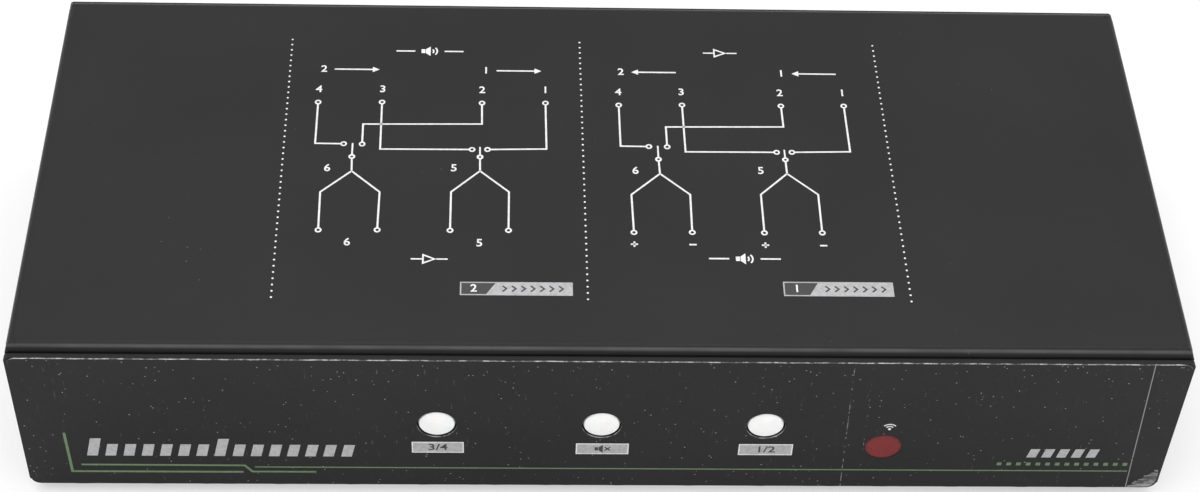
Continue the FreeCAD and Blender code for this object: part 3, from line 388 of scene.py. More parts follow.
FINISHES = {
    "black_steel": black_steel(),
    "printed_film": printed_film(),
    "red_window": red_window(),
    "white_cap": white_cap(),
    "green_board": green_board(),
    "black_screw": plated("black_screw", (0.035, 0.035, 0.037), 0.38, spread=0.15),
    "zinc_steel": plated("zinc_steel", (0.58, 0.59, 0.61), 0.3),
    "can_metal": plated("can_metal", (0.7, 0.71, 0.73), 0.25),
    "contact_metal": plated("contact_metal", (0.68, 0.66, 0.6), 0.22),
    "gold_metal": plated("gold_metal", GOLD, 0.2),
    "foot_rubber": moulded("foot_rubber", (0.018, 0.018, 0.018), 0.75, 1100.0, 0.02),
    "black_plastic": moulded("black_plastic", (0.016, 0.016, 0.017), 0.34),
    "dark_plastic": moulded("dark_plastic", (0.02, 0.02, 0.022), 0.5),
    "lamp_plastic": moulded("lamp_plastic", (0.8, 0.8, 0.76), 0.2),
    "ivory_plastic": moulded("ivory_plastic", (0.74, 0.7, 0.6), 0.4),
    "white_cable": moulded("white_cable", (0.75, 0.77, 0.8), 0.5),
    "red_plastic": moulded("red_plastic", (0.42, 0.012, 0.016), 0.28),
    "plunger_plastic": moulded("plunger_plastic", (0.04, 0.04, 0.04), 0.4),
}
WHITE_INK = ink("white_ink", (0.8, 0.8, 0.8))
SILVER_INK = ink("silver_ink", (0.42, 0.42, 0.43), 0.35)
GREEN_INK = ink("green_ink", (0.11, 0.19, 0.085))
PLATE_INK = ink("plate_ink", (0.4, 0.4, 0.4))
PLATE_EDGE_INK = ink("plate_edge_ink", (0.75, 0.75, 0.75))
DARK_INK = ink("dark_ink", (0.02, 0.02, 0.021))
CUT_EDGE = cut_edge()
FLAKE = flake()

for part in frame["record"]["subparts"]:
    node = frame["nodes"][part["node"]]
    node.data.materials.clear()
    node.data.materials.append(FINISHES[part["material_slot"]])
frame["nodes"]["post_studs"].material_slots[0].material = threaded_gold()


# Pieces. A printed layer is one: flat marks on one surface, each a thin closed solid


def add_piece(name, bm, to_world, material, body="housing"):
    """The piece made of a bmesh, in one material, riding on a body."""
    mesh = bpy.data.meshes.new(name)
    bm.to_mesh(mesh)
    bm.free()
    mesh.transform(to_world)
    mesh.materials.append(material)
    piece = bpy.data.objects.new(name, mesh)
    bpy.context.scene.collection.objects.link(piece)
    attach(piece, body)
    return piece


def text_outline(text):
    """The mesh of a line of digits or signs in the plain font, one unit high, centred, one unit thick."""
    curve = bpy.data.curves.new("letters", "FONT")
    curve.body = text
    curve.size = 1.0
    curve.align_x = "CENTER"
    curve.align_y = "CENTER"
    curve.extrude = 0.5
    curve.offset = 0.014
    curve.resolution_u = 4
    holder = bpy.data.objects.new("letters", curve)
    bpy.context.scene.collection.objects.link(holder)
    bpy.context.view_layer.update()
    mesh = bpy.data.meshes.new_from_object(holder)
    bpy.data.objects.remove(holder)
    return mesh


class Print:
    """Marks in one ink on one surface. Places are across and up in millimetres, seen from in front of it."""

    def __init__(self, name, material, origin, across, up, height=INK, depth=INK / 3):
        self.name = name
        self.material = material
        self.bm = bmesh.new()
        self.height = height
        self.depth = depth
        out = Vector(across).cross(Vector(up))
        frame_axes = Matrix((across, up, out)).transposed().to_4x4()
        self.to_world = (
            Matrix.Translation(Vector(origin) * MM)
            @ frame_axes
            @ Matrix.Scale(MM, 4)
        )

    def solid(self, outline, hole=None):
        """A thin solid from an outline of (across, up) points. A hole has as many points as its outline."""
        low, high = -self.depth, self.height
        rings = []
        for points in (outline, hole):
            if points:
                rings.append([[self.bm.verts.new((u, v, h)) for u, v in points] for h in (low, high)])
        count = len(outline)
        following = [(i, (i + 1) % count) for i in range(count)]
        for index, (bottom, top) in enumerate(rings):
            for i, j in following:
                side = (bottom[i], bottom[j], top[j], top[i])
                self.bm.faces.new(side if index == 0 else side[::-1])
        if hole:
            for level, flip in ((0, True), (1, False)):
                outer, inner = rings[0][level], rings[1][level]
                for i, j in following:
                    face = (outer[i], outer[j], inner[j], inner[i])
                    self.bm.faces.new(face[::-1] if flip else face)
        else:
            self.bm.faces.new(rings[0][0][::-1])
            self.bm.faces.new(rings[0][1])

    def line(self, points, width):
        """A line of even width through the points, mitred at its bends."""
        points = [Vector(p) for p in points]
        left, right = [], []
        for i, point in enumerate(points):
            ways = []
            if i > 0:
                ways.append((point - points[i - 1]).normalized())
            if i + 1 < len(points):
                ways.append((points[i + 1] - point).normalized())
            way = sum(ways, Vector((0, 0))).normalized()
            side = Vector((-way.y, way.x))
            reach = width / 2
            if len(ways) == 2:
                reach /= max(0.3, way.dot(ways[1]))
            left.append(point + side * reach)
            right.append(point - side * reach)
        self.solid([tuple(p) for p in right + left[::-1]])

    def circle(self, centre, radius, inner=0.0, sides=24):
        """A disc, or a ring if an inner radius is given."""
        turns = [2 * math.pi * i / sides for i in range(sides)]

        def around(reach):
            return [(centre[0] + reach * math.cos(a), centre[1] + reach * math.sin(a)) for a in turns]

        self.solid(around(radius), around(inner) if inner else None)

    def arc(self, centre, radius, width, start, end, sides=10):
        """Part of a ring, between two angles in degrees."""
        turns = [math.radians(start + (end - start) * i / sides) for i in range(sides + 1)]
        points = [(centre[0] + radius * math.cos(a), centre[1] + radius * math.sin(a)) for a in turns]
        self.line(points, width)

    def rectangle(self, low, high, slant=0.0, frame_width=0.0):
        """A rectangle, or its frame. Slant moves its upper edge to the right."""

        def corners(inset):
            return [
                (low[0] + inset, low[1] + inset),
                (high[0] - inset, low[1] + inset),
                (high[0] - inset + slant, high[1] - inset),
                (low[0] + inset + slant, high[1] - inset),
            ]

        self.solid(corners(0.0), corners(frame_width) if frame_width else None)

    def plus(self, centre, reach, width):
        """A plus sign."""
        x, y = centre
        self.minus(centre, reach, width)
        self.rectangle((x - width / 2, y - reach), (x + width / 2, y + reach))

    def minus(self, centre, reach, width):
        """A minus sign."""
        x, y = centre
        self.rectangle((x - reach, y - width / 2), (x + reach, y + width / 2))

    def text(self, text, centre, size, stretch=1.0):
        """Digits or signs. Size is the height of a digit."""
        mesh = text_outline(text)
        digit_height = 0.7
        scale = size / digit_height
        thickness = self.height + self.depth
        place = Matrix.Translation((centre[0], centre[1], (self.height - self.depth) / 2))
        mesh.transform(place @ Matrix.Diagonal((scale * stretch, scale, thickness, 1.0)))
        self.bm.from_mesh(mesh)
        bpy.data.meshes.remove(mesh)

    def finish(self):
        """Turns the marks into a piece of the housing."""
        bmesh.ops.remove_doubles(self.bm, verts=self.bm.verts, dist=1e-5)
        bmesh.ops.recalc_face_normals(self.bm, faces=self.bm.faces)
        add_piece(self.name, self.bm, self.to_world, self.material)


def top_layer(name, material, height=INK):
    """A layer on the cover's top, measured from the middle of the box."""
    return Print(name, material, (0, BOX_MIDDLE_Y, TOP_Z), (1, 0, 0), (0, 1, 0), height)


def front_layer(name, material, height=INK, depth=INK / 3):
    """A layer on the front film, measured from the middle of the box's lower edge."""
    return Print(name, material, (0, FILM_FACE_Y, BOX_BOTTOM_Z), (1, 0, 0), (0, 0, 1), height, depth)


def rear_layer(name, material):
    """A layer on the rear wall. Across runs to the right as the wall is faced, which is towards -X."""
    return Print(name, material, (0, REAR_FACE_Y, 0), (-1, 0, 0), (0, 0, 1))


# Signs shared by the prints


def loudspeaker(layer, centre, size, width, crossed=False):
    """The usual sign for sound: a small driver with its cone, and two arcs in front of it or a cross."""
    x, y = centre
    layer.rectangle((x - 0.62 * size, y - 0.2 * size), (x - 0.34 * size, y + 0.2 * size))
    layer.solid([
        (x - 0.3 * size, y - 0.2 * size),
        (x + 0.05 * size, y - 0.5 * size),
        (x + 0.05 * size, y + 0.5 * size),
        (x - 0.3 * size, y + 0.2 * size),
    ])
    if crossed:
        for reach in (-0.22 * size, 0.22 * size):
            layer.line([(x + 0.2 * size, y - reach), (x + 0.64 * size, y + reach)], width)
    else:
        for radius in (0.28 * size, 0.54 * size):
            layer.arc((x, y), radius, width, -42, 42)


def amplifier(layer, centre, size, width):
    """The usual sign for an amplifier: a triangle with a lead in and a lead out."""
    x, y = centre
    half = 0.5 * size
    reach = 1.3 * size
    outer = [(x - half, y - half), (x + half, y), (x - half, y + half)]
    inner = [
        (x - half + width, y - half + 1.7 * width),
        (x + half - 2.1 * width, y),
        (x - half + width, y + half - 1.7 * width),
    ]
    layer.solid(outer, inner)
    layer.rectangle((x - reach, y - width / 2), (x - half, y + width / 2))
    layer.rectangle((x + half, y - width / 2), (x + reach, y + width / 2))


def arrow(layer, start, end, width, head):
    """A straight arrow."""
    start, end = Vector(start), Vector(end)
    way = (end - start).normalized()
    side = Vector((-way.y, way.x))
    neck = end - way * head
    layer.solid([tuple(p) for p in (
        start - side * width / 2, neck - side * width / 2, neck - side * head * 0.55, end,
        neck + side * head * 0.55, neck + side * width / 2, start + side * width / 2,
    )])


# The wiring diagram on the top, drawn twice. Places are across and up from the middle of the box

DIAGRAM_STEP = 56.37
WIRE = 0.34
TERMINAL = 0.62
TERMINAL_BORE = 0.3
UPPER_RINGS = ((-52.53, 16.20), (-40.59, 16.37), (-21.87, 16.37), (-9.94, 16.54))
LOWER_RINGS = ((-50.64, -16.50), (-40.16, -16.38), (-27.17, -16.36), (-16.73, -16.25))
CONTACTS = ((-47.22, 5.25), (-43.82, 5.22), (-23.55, 4.05), (-20.70, 4.09))
LEADS = (
    ((-52.53, 16.20), (-52.46, 5.30), (-47.22, 5.25)),
    ((-21.87, 16.37), (-21.80, 10.76), (-43.87, 10.46), (-43.82, 5.22)),
    ((-40.59, 16.37), (-40.46, 3.96), (-23.55, 4.05)),
    ((-9.94, 16.54), (-9.82, 4.36), (-20.70, 4.09)),
)
POLES = ((-45.55, 1.96), (-22.06, 2.13))
BLADE_TIPS = ((-45.57, 5.45), (-22.09, 4.72))
FORKS = (
    ((-45.41, -1.75), (-50.82, -7.12), (-40.10, -7.00)),
    ((-22.01, -1.46), (-27.19, -6.84), (-16.69, -6.72)),
)
DOTTED_LINES = (-58.4, -3.3, 53.5)
DOT_TOP = 33.4
DOT_PITCH = 1.465
DOT_COUNT = 46
DOT_LEAN = -0.0079
DOT_RADIUS = 0.2

# Digits, arrows and signs in the places of the diagrams' words
DIGIT = 1.75
DIGIT_RISE = 3.5
SWITCH_DIGITS = ((-49.9, -1.05), (-26.8, -0.8))
GROUP_PLACES = (-47.0, -16.3)
GROUP_ROW = 25.25
GROUP_DIGIT = -4.9
ARROW_START = -2.9
ARROW_END = 5.6
ARROW_HEAD = 1.3
SIGN_LINE = 0.3
LOUDSPEAKERS = ((-32.0, 30.5), (25.3, -22.7))
LOUDSPEAKER = 2.6
BESIDE_LOUDSPEAKER = 4.6
DASH_REACH = 1.8
AMPLIFIERS = ((23.7, 30.8), (-30.7, -23.3))
AMPLIFIER = 2.5
OUTLET_DIGITS = (-45.4, -21.9)
OUTLET_ROW = -19.4

# The numbered plates below the diagrams: lowest and highest corner, and number
NUMBER_PLATES = (((-25.15, -31.74), (-5.40, -28.65), "2"), ((31.66, -31.45), (51.15, -28.10), "1"))
CELL_LENGTH = 4.6
CELL_EDGE = 0.25
CHEVRONS = 7
CHEVRON_PITCH = 1.65


def trimmed(points, start, end):
    """The points with the first and last moved inwards, so that a lead ends at its ring."""
    points = [Vector(p) for p in points]
    points[0] += (points[1] - points[0]).normalized() * start
    points[-1] += (points[-2] - points[-1]).normalized() * end
    return points


def draw_diagram(layer, shift):
    """Two change-over switches between two pairs of inputs and two pairs of outputs."""

    def moved(point):
        return point[0] + shift, point[1]

    for ring in UPPER_RINGS + LOWER_RINGS + CONTACTS:
        layer.circle(moved(ring), TERMINAL, TERMINAL_BORE)
    for lead in LEADS:
        layer.line(trimmed([moved(p) for p in lead], TERMINAL - 0.02, TERMINAL - 0.02), WIRE)
    for pole, tip, (knot, left, right), index in zip(POLES, BLADE_TIPS, FORKS, (0, 2)):
        layer.circle(moved(pole), TERMINAL, TERMINAL * 0.4)
        layer.line(trimmed([moved(pole), moved(tip)], TERMINAL - 0.02, 0.0), WIRE * 0.9)
        layer.line(trimmed([moved(pole), moved(knot)], TERMINAL - 0.02, 0.0), WIRE)
        for branch, foot in ((left, LOWER_RINGS[index]), (right, LOWER_RINGS[index + 1])):
            layer.line(trimmed([moved(knot), moved(branch), moved(foot)], 0.0, TERMINAL - 0.02), WIRE)


def draw_top_signs(layer):
    """Digits at the terminals, an arrow for each group, and the signs for loudspeaker and amplifier."""
    for shift in (0.0, DIAGRAM_STEP):
        for i, (x, y) in enumerate(UPPER_RINGS):
            layer.text(str(4 - i), (x + shift, y + DIGIT_RISE), DIGIT)
        for i, (x, y) in enumerate(SWITCH_DIGITS):
            layer.text(str(6 - i), (x + shift, y), DIGIT)
        for i, x in enumerate(GROUP_PLACES):
            x += shift
            layer.text(str(2 - i), (x + GROUP_DIGIT, GROUP_ROW), DIGIT)
            ends = [(x + ARROW_START, GROUP_ROW), (x + ARROW_END, GROUP_ROW)]
            if shift:
                ends.reverse()
            arrow(layer, *ends, WIRE, ARROW_HEAD)
    for x, y in LOUDSPEAKERS:
        loudspeaker(layer, (x, y), LOUDSPEAKER, SIGN_LINE)
        for side in (-BESIDE_LOUDSPEAKER, BESIDE_LOUDSPEAKER):
            layer.minus((x + side, y), DASH_REACH, WIRE)
    for place in AMPLIFIERS:
        amplifier(layer, place, AMPLIFIER, SIGN_LINE)
    for i, x in enumerate(OUTLET_DIGITS):
        layer.text(str(6 - i), (x, OUTLET_ROW), DIGIT)
    for i, (x, _) in enumerate(LOWER_RINGS):
        sign = layer.minus if i % 2 else layer.plus
        sign((x + DIAGRAM_STEP, OUTLET_ROW + 0.03), 0.65, 0.35)


def draw_number_plates():
    """Silver plates with a number in a dark cell, and chevrons in the place of a word."""
    plates = top_layer("top_plates", SILVER_INK, INK * 0.8)
    cells = top_layer("top_plate_cells", DARK_INK, INK * 1.4)
    numbers = top_layer("top_plate_numbers", WHITE_INK, INK * 2.0)
    for low, high, number in NUMBER_PLATES:
        plates.rectangle(low, high)
        left, foot, top = low[0] + CELL_EDGE, low[1] + CELL_EDGE, high[1] - CELL_EDGE
        cell_end = low[0] + CELL_LENGTH
        middle = (low[1] + high[1]) / 2
        cells.solid([(left, foot), (cell_end, foot), (cell_end + 1.6, top), (left, top)])
        numbers.text(number, (low[0] + 2.4, middle), 1.7)
        for i in range(CHEVRONS):
            x = cell_end + 3.2 + i * CHEVRON_PITCH
            cells.line([(x - 0.35, middle - 0.65), (x + 0.35, middle), (x - 0.35, middle + 0.65)], 0.3)
    plates.finish()
    cells.finish()
    numbers.finish()


def draw_top():
    """Dotted lines, the two diagrams with their signs, and the numbered plates."""
    layer = top_layer("top_print", WHITE_INK)
    for line_x in DOTTED_LINES:
        for i in range(DOT_COUNT):
            down = i * DOT_PITCH
            layer.circle((line_x - DOT_LEAN * down, DOT_TOP - down), DOT_RADIUS, sides=8)
    for shift in (0.0, DIAGRAM_STEP):
        draw_diagram(layer, shift)
    draw_top_signs(layer)
    layer.finish()
    draw_number_plates()


draw_top()


# The front print. Places are across from the middle and up from the box's lower edge

# Green lines through these points, and their widths
STRIPES = (
    (((-94.69, 14.75), (-94.53, 3.67), (-64.02, 3.66)), 0.5),
    (((-92.70, 5.65), (-63.65, 5.56), (-62.40, 3.76), (-50.98, 3.75)), 0.45),
    (((-61.87, 5.13), (96.15, 4.95)), 0.3),
)
SQUARES = 14
SQUARES_START = 72.37
SQUARES_END = 95.37
SQUARES_ROW = 6.95
SQUARE_HALF = 0.42

# Plates below the buttons: lowest and highest corner, and digits, or the sign for silence if there are none
BUTTON_PLATES = (
    ((-33.63, 9.55), (-24.41, 12.61), "3/4"),
    ((-4.40, 9.35), (5.02, 12.36), ""),
    ((24.73, 9.26), (34.44, 12.37), "1/2"),
)
PLATE_EDGE = 0.22
PLATE_LAP = 0.01

# Slanted bars in the place of the name, two of them tall
NAME_BARS = 15
NAME_TALL = (0, 7)
NAME_LEFT = -91.4
NAME_PITCH = 3.22
NAME_WIDTH = 1.9
NAME_FOOT = 8.3
NAME_TOP = 11.6
NAME_TALL_TOP = 13.2
NAME_SLANT = 0.22

# Slanted bars in the place of the model
MODEL_BARS = 5
MODEL_LEFT = 77.0
MODEL_PITCH = 2.7
MODEL_WIDTH = 1.7
MODEL_FOOT = 8.9
MODEL_TOP = 11.3
MODEL_LEAN = 0.5

WINDOW_SIGN = (51.2, 16.9)


def draw_stripes():
    """The green lines and the row of green squares."""
    green = front_layer("front_stripes", GREEN_INK)
    for points, width in STRIPES:
        green.line(points, width)
    for i in range(SQUARES):
        x = SQUARES_START + i * (SQUARES_END - SQUARES_START) / (SQUARES - 1)
        low, high = SQUARES_ROW - SQUARE_HALF, SQUARES_ROW + SQUARE_HALF
        green.rectangle((x - SQUARE_HALF, low), (x + SQUARE_HALF, high))
    green.finish()


def draw_button_plates():
    """A silver plate with a bright rim and a dark mark below each button."""
    plates = front_layer("button_plates", PLATE_INK, INK * 0.8)
    edges = front_layer("button_plate_edges", PLATE_EDGE_INK, INK)
    marks = front_layer("button_plate_marks", DARK_INK, INK * 1.3)
    for low, high, digits in BUTTON_PLATES:
        plates.rectangle(low, high)
        outer_low = (low[0] - PLATE_LAP, low[1] - PLATE_LAP)
        outer_high = (high[0] + PLATE_LAP, high[1] + PLATE_LAP)
        edges.rectangle(outer_low, outer_high, frame_width=PLATE_EDGE)
        middle = ((low[0] + high[0]) / 2, (low[1] + high[1]) / 2)
        if digits:
            marks.text(digits, middle, 1.7, 1.15)
        else:
            loudspeaker(marks, middle, 2.2, 0.26, crossed=True)
    plates.finish()
    edges.finish()
    marks.finish()


def draw_bars():
    """Bars in the places of the name and the model."""
    silver = front_layer("front_bars", SILVER_INK)
    for i in range(NAME_BARS):
        x = NAME_LEFT + i * NAME_PITCH
        top = NAME_TALL_TOP if i in NAME_TALL else NAME_TOP
        silver.rectangle((x, NAME_FOOT), (x + NAME_WIDTH, top), slant=(top - NAME_FOOT) * NAME_SLANT)
    for i in range(MODEL_BARS):
        x = MODEL_LEFT + i * MODEL_PITCH
        silver.rectangle((x, MODEL_FOOT), (x + MODEL_WIDTH, MODEL_TOP), slant=MODEL_LEAN)
    silver.finish()


def draw_window_sign():
    """The usual sign for a remote control's beam: a dot with two arcs above it."""
    white = front_layer("window_sign", WHITE_INK)
    white.circle(WINDOW_SIGN, 0.27, sides=12)
    for radius in (0.75, 1.35):
        white.arc(WINDOW_SIGN, radius, 0.24, 40, 140)
    white.finish()


draw_stripes()
draw_button_plates()
draw_bars()
draw_window_sign()


# The film in full, the caps' faces, the cover's closed corners and the film's worn corner

FILM_HALF = 102.2
FILM_TOP = 34.97
FILM_FOOT = 0.08
FILM_CORNER = 1.7
FILM_TOP_ROUGH = 0.04
FILM_FOOT_ROUGH = 0.09
HOLE_RADIUS = 3.5
WINDOW_HOLE = 3.35
CAP_RADIUS = 3.2
CAP_SINK = 0.08
CAP_DOME = 0.06
CAP_EDGE = 0.35
CAP_CROWN = 0.3
CAP_WALL = 0.4
CAP_LAP = 0.35
COVER_BEND = 1.5
COVER_NOTCH = 1.85
COVER_LIP = 4.5
CORNER_GAP = 0.3
CORNER_SHEET = 0.8


def film_outline(steps=8, along=170):
    """A rounded rectangle, from the lower right corner round to the left, with slightly uneven long edges."""
    radius = FILM_CORNER
    low, high = FILM_FOOT + radius, FILM_TOP - radius
    points = []
    for side, height, first in ((1, low, -90), (1, high, 0), (-1, high, 90), (-1, low, 180)):
        centre_x = side * (FILM_HALF - radius)
        for i in range(steps + 1):
            angle = math.radians(first + 90 * i / steps)
            points.append((centre_x + radius * math.cos(angle), height + radius * math.sin(angle)))
        if first in (0, 180):
            for i in range(1, along):
                wave = math.sin(i * 1.7) * 0.5 + math.sin(i * 0.61 + 1.0) * 0.5
                if first == 0:
                    z = FILM_TOP + FILM_TOP_ROUGH * wave
                else:
                    z = FILM_FOOT + FILM_FOOT_ROUGH * min(0.0, wave + 0.2)
                points.append((centre_x * (1 - 2 * i / along), z))
    return points


def make_film():
    """The printed film in full: rounded corners, holes, and milky cut edges with a painted glint."""
    curve = bpy.data.curves.new("film_sheet", "CURVE")
    curve.dimensions = "2D"
    curve.fill_mode = "BOTH"
    curve.extrude = (film_high.y - film_low.y) / 2
    loops = [film_outline()]
    holes = [(*button_centre(name), HOLE_RADIUS) for name in BUTTON_NAMES]
    holes.append((WINDOW_X, WINDOW_Z - BOX_BOTTOM_Z, WINDOW_HOLE))
    sides = 64
    for x, z, radius in holes:
        turns = [2 * math.pi * i / sides for i in range(sides)]
        loops.append([(x + radius * math.cos(a), z + radius * math.sin(a)) for a in turns])
    for loop in loops:
        spline = curve.splines.new("POLY")
        spline.points.add(len(loop) - 1)
        for point, (x, z) in zip(spline.points, loop):
            point.co = (x, z, 0.0, 1.0)
        spline.use_cyclic_u = True
    holder = bpy.data.objects.new("film_outline", curve)
    bpy.context.scene.collection.objects.link(holder)
    bpy.context.view_layer.update()
    mesh = bpy.data.meshes.new_from_object(holder)
    bpy.data.objects.remove(holder)
    middle_y = (film_low.y + film_high.y) / 2
    upright = Matrix.Rotation(math.pi / 2, 4, "X")
    mesh.transform(Matrix.Scale(MM, 4) @ Matrix.Translation((0, middle_y, BOX_BOTTOM_Z)) @ upright)
    mesh.materials.clear()
    mesh.materials.append(FINISHES["printed_film"])
    mesh.materials.append(CUT_EDGE)
    bm = bmesh.new()
    bm.from_mesh(mesh)
    bmesh.ops.remove_doubles(bm, verts=bm.verts, dist=1e-6)
    bmesh.ops.recalc_face_normals(bm, faces=bm.faces)
    window = Vector((WINDOW_X, film_low.y, WINDOW_Z)) * MM
    for face in bm.faces:
        cut = abs(face.normal.y) < 0.5
        beside_window = (face.calc_center_median() - window).length < (WINDOW_HOLE + 0.5) * MM
        face.material_index = 1 if cut and not beside_window else 0
    bm.to_mesh(mesh)
    bm.free()
    mesh.name = "film_sheet"
    piece = bpy.data.objects.new("film_sheet", mesh)
    bpy.context.scene.collection.objects.link(piece)
    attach(piece, "housing")
    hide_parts("front_film")


def turned(name, body, corners, axis, material, sides=48):
    """A piece turned about Y from (radius, y) corners, of which the first and last lie on the axis."""
    centre_x, centre_z = axis
    bm = bmesh.new()
    turns = [2 * math.pi * i / sides for i in range(sides)]
    following = [(i, (i + 1) % sides) for i in range(sides)]
    rings = []
    for radius, y in corners[1:-1]:
        places = [(centre_x + radius * math.cos(a), y, centre_z + radius * math.sin(a)) for a in turns]
        rings.append([bm.verts.new(place) for place in places])
    first = bm.verts.new((centre_x, corners[0][1], centre_z))
    last = bm.verts.new((centre_x, corners[-1][1], centre_z))
    for i, j in following:
        bm.faces.new((first, rings[0][i], rings[0][j]))
        bm.faces.new((rings[-1][i], rings[-1][j], last))
        for near, far in zip(rings, rings[1:]):
            bm.faces.new((near[i], near[j], far[j], far[i]))
    for face in bm.faces:
        face.smooth = True
    bmesh.ops.recalc_face_normals(bm, faces=bm.faces)
    return add_piece(name, bm, Matrix.Scale(MM, 4), material, body)


def make_button_faces():
    """Each cap's slightly domed face, almost level with the film."""
    front = FILM_FACE_Y + CAP_SINK
    for name in BUTTON_NAMES:
        x, rise = button_centre(name)
        back = span(f"button_{name}")[0].y + CAP_LAP
        dome = [(0.0, front)]
        for i in range(1, 6):
            angle = math.pi / 2 * i / 5
            radius = CAP_RADIUS - CAP_EDGE * (1 - math.sin(angle))
            dome.append((radius, front + CAP_DOME + CAP_CROWN * (1 - math.cos(angle))))
        dome += [(CAP_RADIUS, back), (CAP_RADIUS - CAP_WALL, back), (0.0, back)]
        axis = (x, rise + BOX_BOTTOM_Z)
        face = turned(f"button_face_{name}", f"{name}_button", dome, axis, FINISHES["white_cap"])


def make_cover_corners():
    """The closed corners of the cover, where its front and rear folds run out beside the side folds."""
    low, high = cover_low, cover_high
    half = (high.x - low.x) / 2
    profile = [(COVER_NOTCH, 0.0)]
    for i in range(9):
        angle = math.pi / 2 * i / 8
        profile.append((COVER_BEND * (1 - math.sin(angle)), COVER_BEND * (math.cos(angle) - 1)))
    profile.append((0.0, -COVER_LIP))
    for index, (side, end) in enumerate(((-1, -1), (1, -1), (-1, 1), (1, 1))):
        bm = bmesh.new()
        rows = []
        for step in range(7):
            x = half - COVER_NOTCH + (COVER_NOTCH - CORNER_GAP) * step / 6
            over = max(0.0, x - (half - COVER_BEND))
            drop = COVER_BEND - math.sqrt(COVER_BEND ** 2 - over ** 2)
            row = []
            for inward, down in profile:
                y = low.y + inward if end < 0 else high.y - inward
                row.append(bm.verts.new((side * x, y, high.z + min(down, -drop))))
            rows.append(row)
        for before, after in zip(rows, rows[1:]):
            for i in range(len(profile) - 1):
                bm.faces.new((before[i], before[i + 1], after[i + 1], after[i])).smooth = True
        bmesh.ops.recalc_face_normals(bm, faces=bm.faces)
        top = max(bm.faces, key=lambda face: face.calc_center_median().z)
        if top.normal.z < 0:
            bmesh.ops.reverse_faces(bm, faces=bm.faces)
        bmesh.ops.solidify(bm, geom=bm.faces[:], thickness=CORNER_SHEET)
        piece = add_piece(f"cover_corner_{index + 1}", bm, Matrix.Scale(MM, 4), FINISHES["black_steel"])


def make_flake():
    """The triangle of film that is rubbed through at the lower right corner."""
    layer = front_layer("worn_corner", FLAKE, 0.04, 0.24)
    start, end = Vector((96.9, 0.3)), Vector((101.3, 5.2))
    way = (end - start).normalized()
    side = Vector((-way.y, way.x))
    steps = 14
    torn = []
    for i in range(steps + 1):
        jag = 0.16 * math.sin(i * 2.3) + 0.1 * math.sin(i * 5.1)
        torn.append(tuple(start.lerp(end, i / steps) + side * jag))
    round_corner = [(100.6, 0.35), (101.3, 0.7), (101.8, 1.4), (102.0, 2.4), (102.0, 4.0), (101.8, 5.3)]
    layer.solid(round_corner + torn[::-1])
    layer.finish()


make_film()
make_button_faces()
make_cover_corners()
make_flake()


# The rear print

# Above each pair of posts: its number, and the signs of its poles, up from the posts' axis
PAIR_NUMBER_RISE = 11.2
PAIR_NUMBER = 3.0
POLE_SIGN_RISE = 8.2

# The sign for the inlet's polarity, from the power socket's axis
POLARITY_ACROSS = 15.0
POLARITY_RISE = 4.2


def draw_polarity(layer, x, z):
    """The usual sign for an inlet's polarity: its pin is positive and its sleeve negative."""
    width = 0.3
    layer.circle((x, z), 0.45)
    layer.arc((x, z), 1.3, width, -140, 140)
    layer.rectangle((x + 1.3, z - width / 2), (x + 3.1, z + width / 2))
    layer.rectangle((x - 3.1, z - width / 2), (x - 0.4, z + width / 2))
    layer.plus((x - 4.3, z), 0.6, width)
    layer.minus((x + 4.3, z), 0.6, width)


def draw_rear():
    """A number and the signs of its poles above each pair of posts, and the sign for the inlet."""
    layer = rear_layer("rear_print", WHITE_INK)
    for terminal in range(1, 7):
        (red_x, z), (black_x, _) = post_centre(terminal, "red"), post_centre(terminal, "black")
        layer.text(str(terminal), (-(red_x + black_x) / 2, z + PAIR_NUMBER_RISE), PAIR_NUMBER)
        layer.plus((-red_x, z + POLE_SIGN_RISE), 0.8, 0.4)
        layer.minus((-black_x, z + POLE_SIGN_RISE), 0.8, 0.4)
    socket_x = (socket_low.x + socket_high.x) / 2
    socket_z = (socket_low.z + socket_high.z) / 2
    draw_polarity(layer, POLARITY_ACROSS - socket_x, socket_z + POLARITY_RISE)
    layer.finish()


draw_rear()


# Floor, light and camera


def make_floor():
    """A matt white floor, which the camera sees a little brighter than it is lit."""
    reach = 6.0
    mesh = bpy.data.meshes.new("floor")
    corners = [(-reach, -reach, 0), (reach, -reach, 0), (reach, reach, 0), (-reach, reach, 0)]
    mesh.from_pydata(corners, [], [(0, 1, 2, 3)])
    floor = bpy.data.objects.new("floor", mesh)
    bpy.context.scene.collection.objects.link(floor)
    finish = Finish("floor", (0.93, 0.93, 0.93), 0.8, Specular_IOR_Level=0.0)
    paper = finish.add("ShaderNodeEmission")
    paper.inputs["Color"].default_value = (1, 1, 1, 1)
    paper.inputs["Strength"].default_value = 1.0
    path = finish.add("ShaderNodeLightPath")
    mixed = finish.add("ShaderNodeMixShader")
    finish.link(finish.math("MULTIPLY", path.outputs["Is Camera Ray"], 0.45), mixed.inputs["Fac"])
    finish.link(finish.shader.outputs[0], mixed.inputs[1])
    finish.link(paper.outputs[0], mixed.inputs[2])
    finish.link(mixed.outputs[0], finish.tree.nodes["Material Output"].inputs["Surface"])
    mesh.materials.append(finish.material)


def area_lamp(name, place, target, size, power):
    """A soft lamp, in metres and watts, turned to its target."""
    lamp = bpy.data.lights.new(name, "AREA")
    lamp.shape = "RECTANGLE"
    lamp.size, lamp.size_y = size
    lamp.energy = power
    holder = bpy.data.objects.new(name, lamp)
    holder.location = place
    holder.rotation_mode = "QUATERNION"
    holder.rotation_quaternion = (Vector(target) - Vector(place)).to_track_quat("-Z", "Y")
    bpy.context.scene.collection.objects.link(holder)


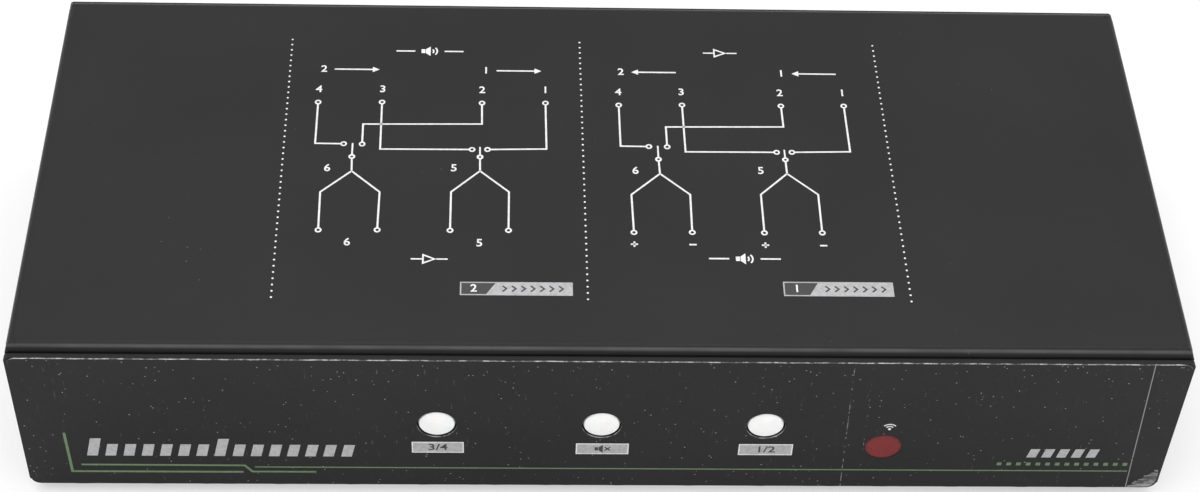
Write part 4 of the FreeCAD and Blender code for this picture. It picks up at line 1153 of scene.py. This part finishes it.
def background_rays(tree):
    """1 for the rays that show the background: from the camera, in a reflection, or through glass."""
    path = tree.nodes.new("ShaderNodeLightPath")
    shown = path.outputs["Is Camera Ray"]
    for ray in ("Is Glossy Ray", "Is Transmission Ray"):
        either = tree.nodes.new("ShaderNodeMath")
        either.operation = "MAXIMUM"
        tree.links.new(shown, either.inputs[0])
        tree.links.new(path.outputs[ray], either.inputs[1])
        shown = either.outputs[0]
    return shown


def make_light():
    """Three lamps, and a white world that lights the object less than it shows."""
    area_lamp("key_lamp", (-0.35, -0.55, 1.5), (0, 0, 0), (1.3, 1.0), 9.5)
    area_lamp("fill_lamp", (0.9, -0.9, 0.8), (0, 0, 0.02), (0.9, 0.7), 3.0)
    area_lamp("sheen_lamp", (0.0, 0.6, 1.35), (0, 0, 0.03), (1.8, 0.5), 8.0)
    world = bpy.data.worlds.new("studio")
    bpy.context.scene.world = world
    world.use_nodes = True
    tree = world.node_tree
    lighting = tree.nodes["Background"]
    seen = tree.nodes.new("ShaderNodeBackground")
    for node, strength in ((lighting, 0.7), (seen, 1.0)):
        node.inputs["Color"].default_value = (1, 1, 1, 1)
        node.inputs["Strength"].default_value = strength
    mixed = tree.nodes.new("ShaderNodeMixShader")
    tree.links.new(background_rays(tree), mixed.inputs["Fac"])
    tree.links.new(lighting.outputs[0], mixed.inputs[1])
    tree.links.new(seen.outputs[0], mixed.inputs[2])
    tree.links.new(mixed.outputs[0], tree.nodes["World Output"].inputs["Surface"])


# The camera's place in millimetres, the ways of its own axes, and its lens in millimetres on 36 mm
CAMERA_PLACE = (-17.12, -320.83, 355.87)
CAMERA_RIGHT = (0.9992189, -0.0205583, 0.0337472)
CAMERA_UP = (-0.0076988, 0.7363688, 0.6765366)
CAMERA_BACK = (-0.0387588, -0.6762680, 0.7356354)
CAMERA_LENS = 72.549


def make_camera():
    """The camera at the photograph's place and lens."""
    data = bpy.data.cameras.new("camera")
    data.sensor_fit = "HORIZONTAL"
    data.sensor_width = 36.0
    data.lens = CAMERA_LENS
    data.clip_start = 0.01
    data.clip_end = 30.0
    camera = bpy.data.objects.new("camera", data)
    turn = Matrix((CAMERA_RIGHT, CAMERA_UP, CAMERA_BACK)).transposed()
    camera.matrix_world = Matrix.Translation(Vector(CAMERA_PLACE) * MM) @ turn.to_4x4()
    bpy.context.scene.collection.objects.link(camera)
    bpy.context.scene.camera = camera


make_floor()
make_light()
make_camera()
bpy.context.scene.view_settings.view_transform = "Standard"
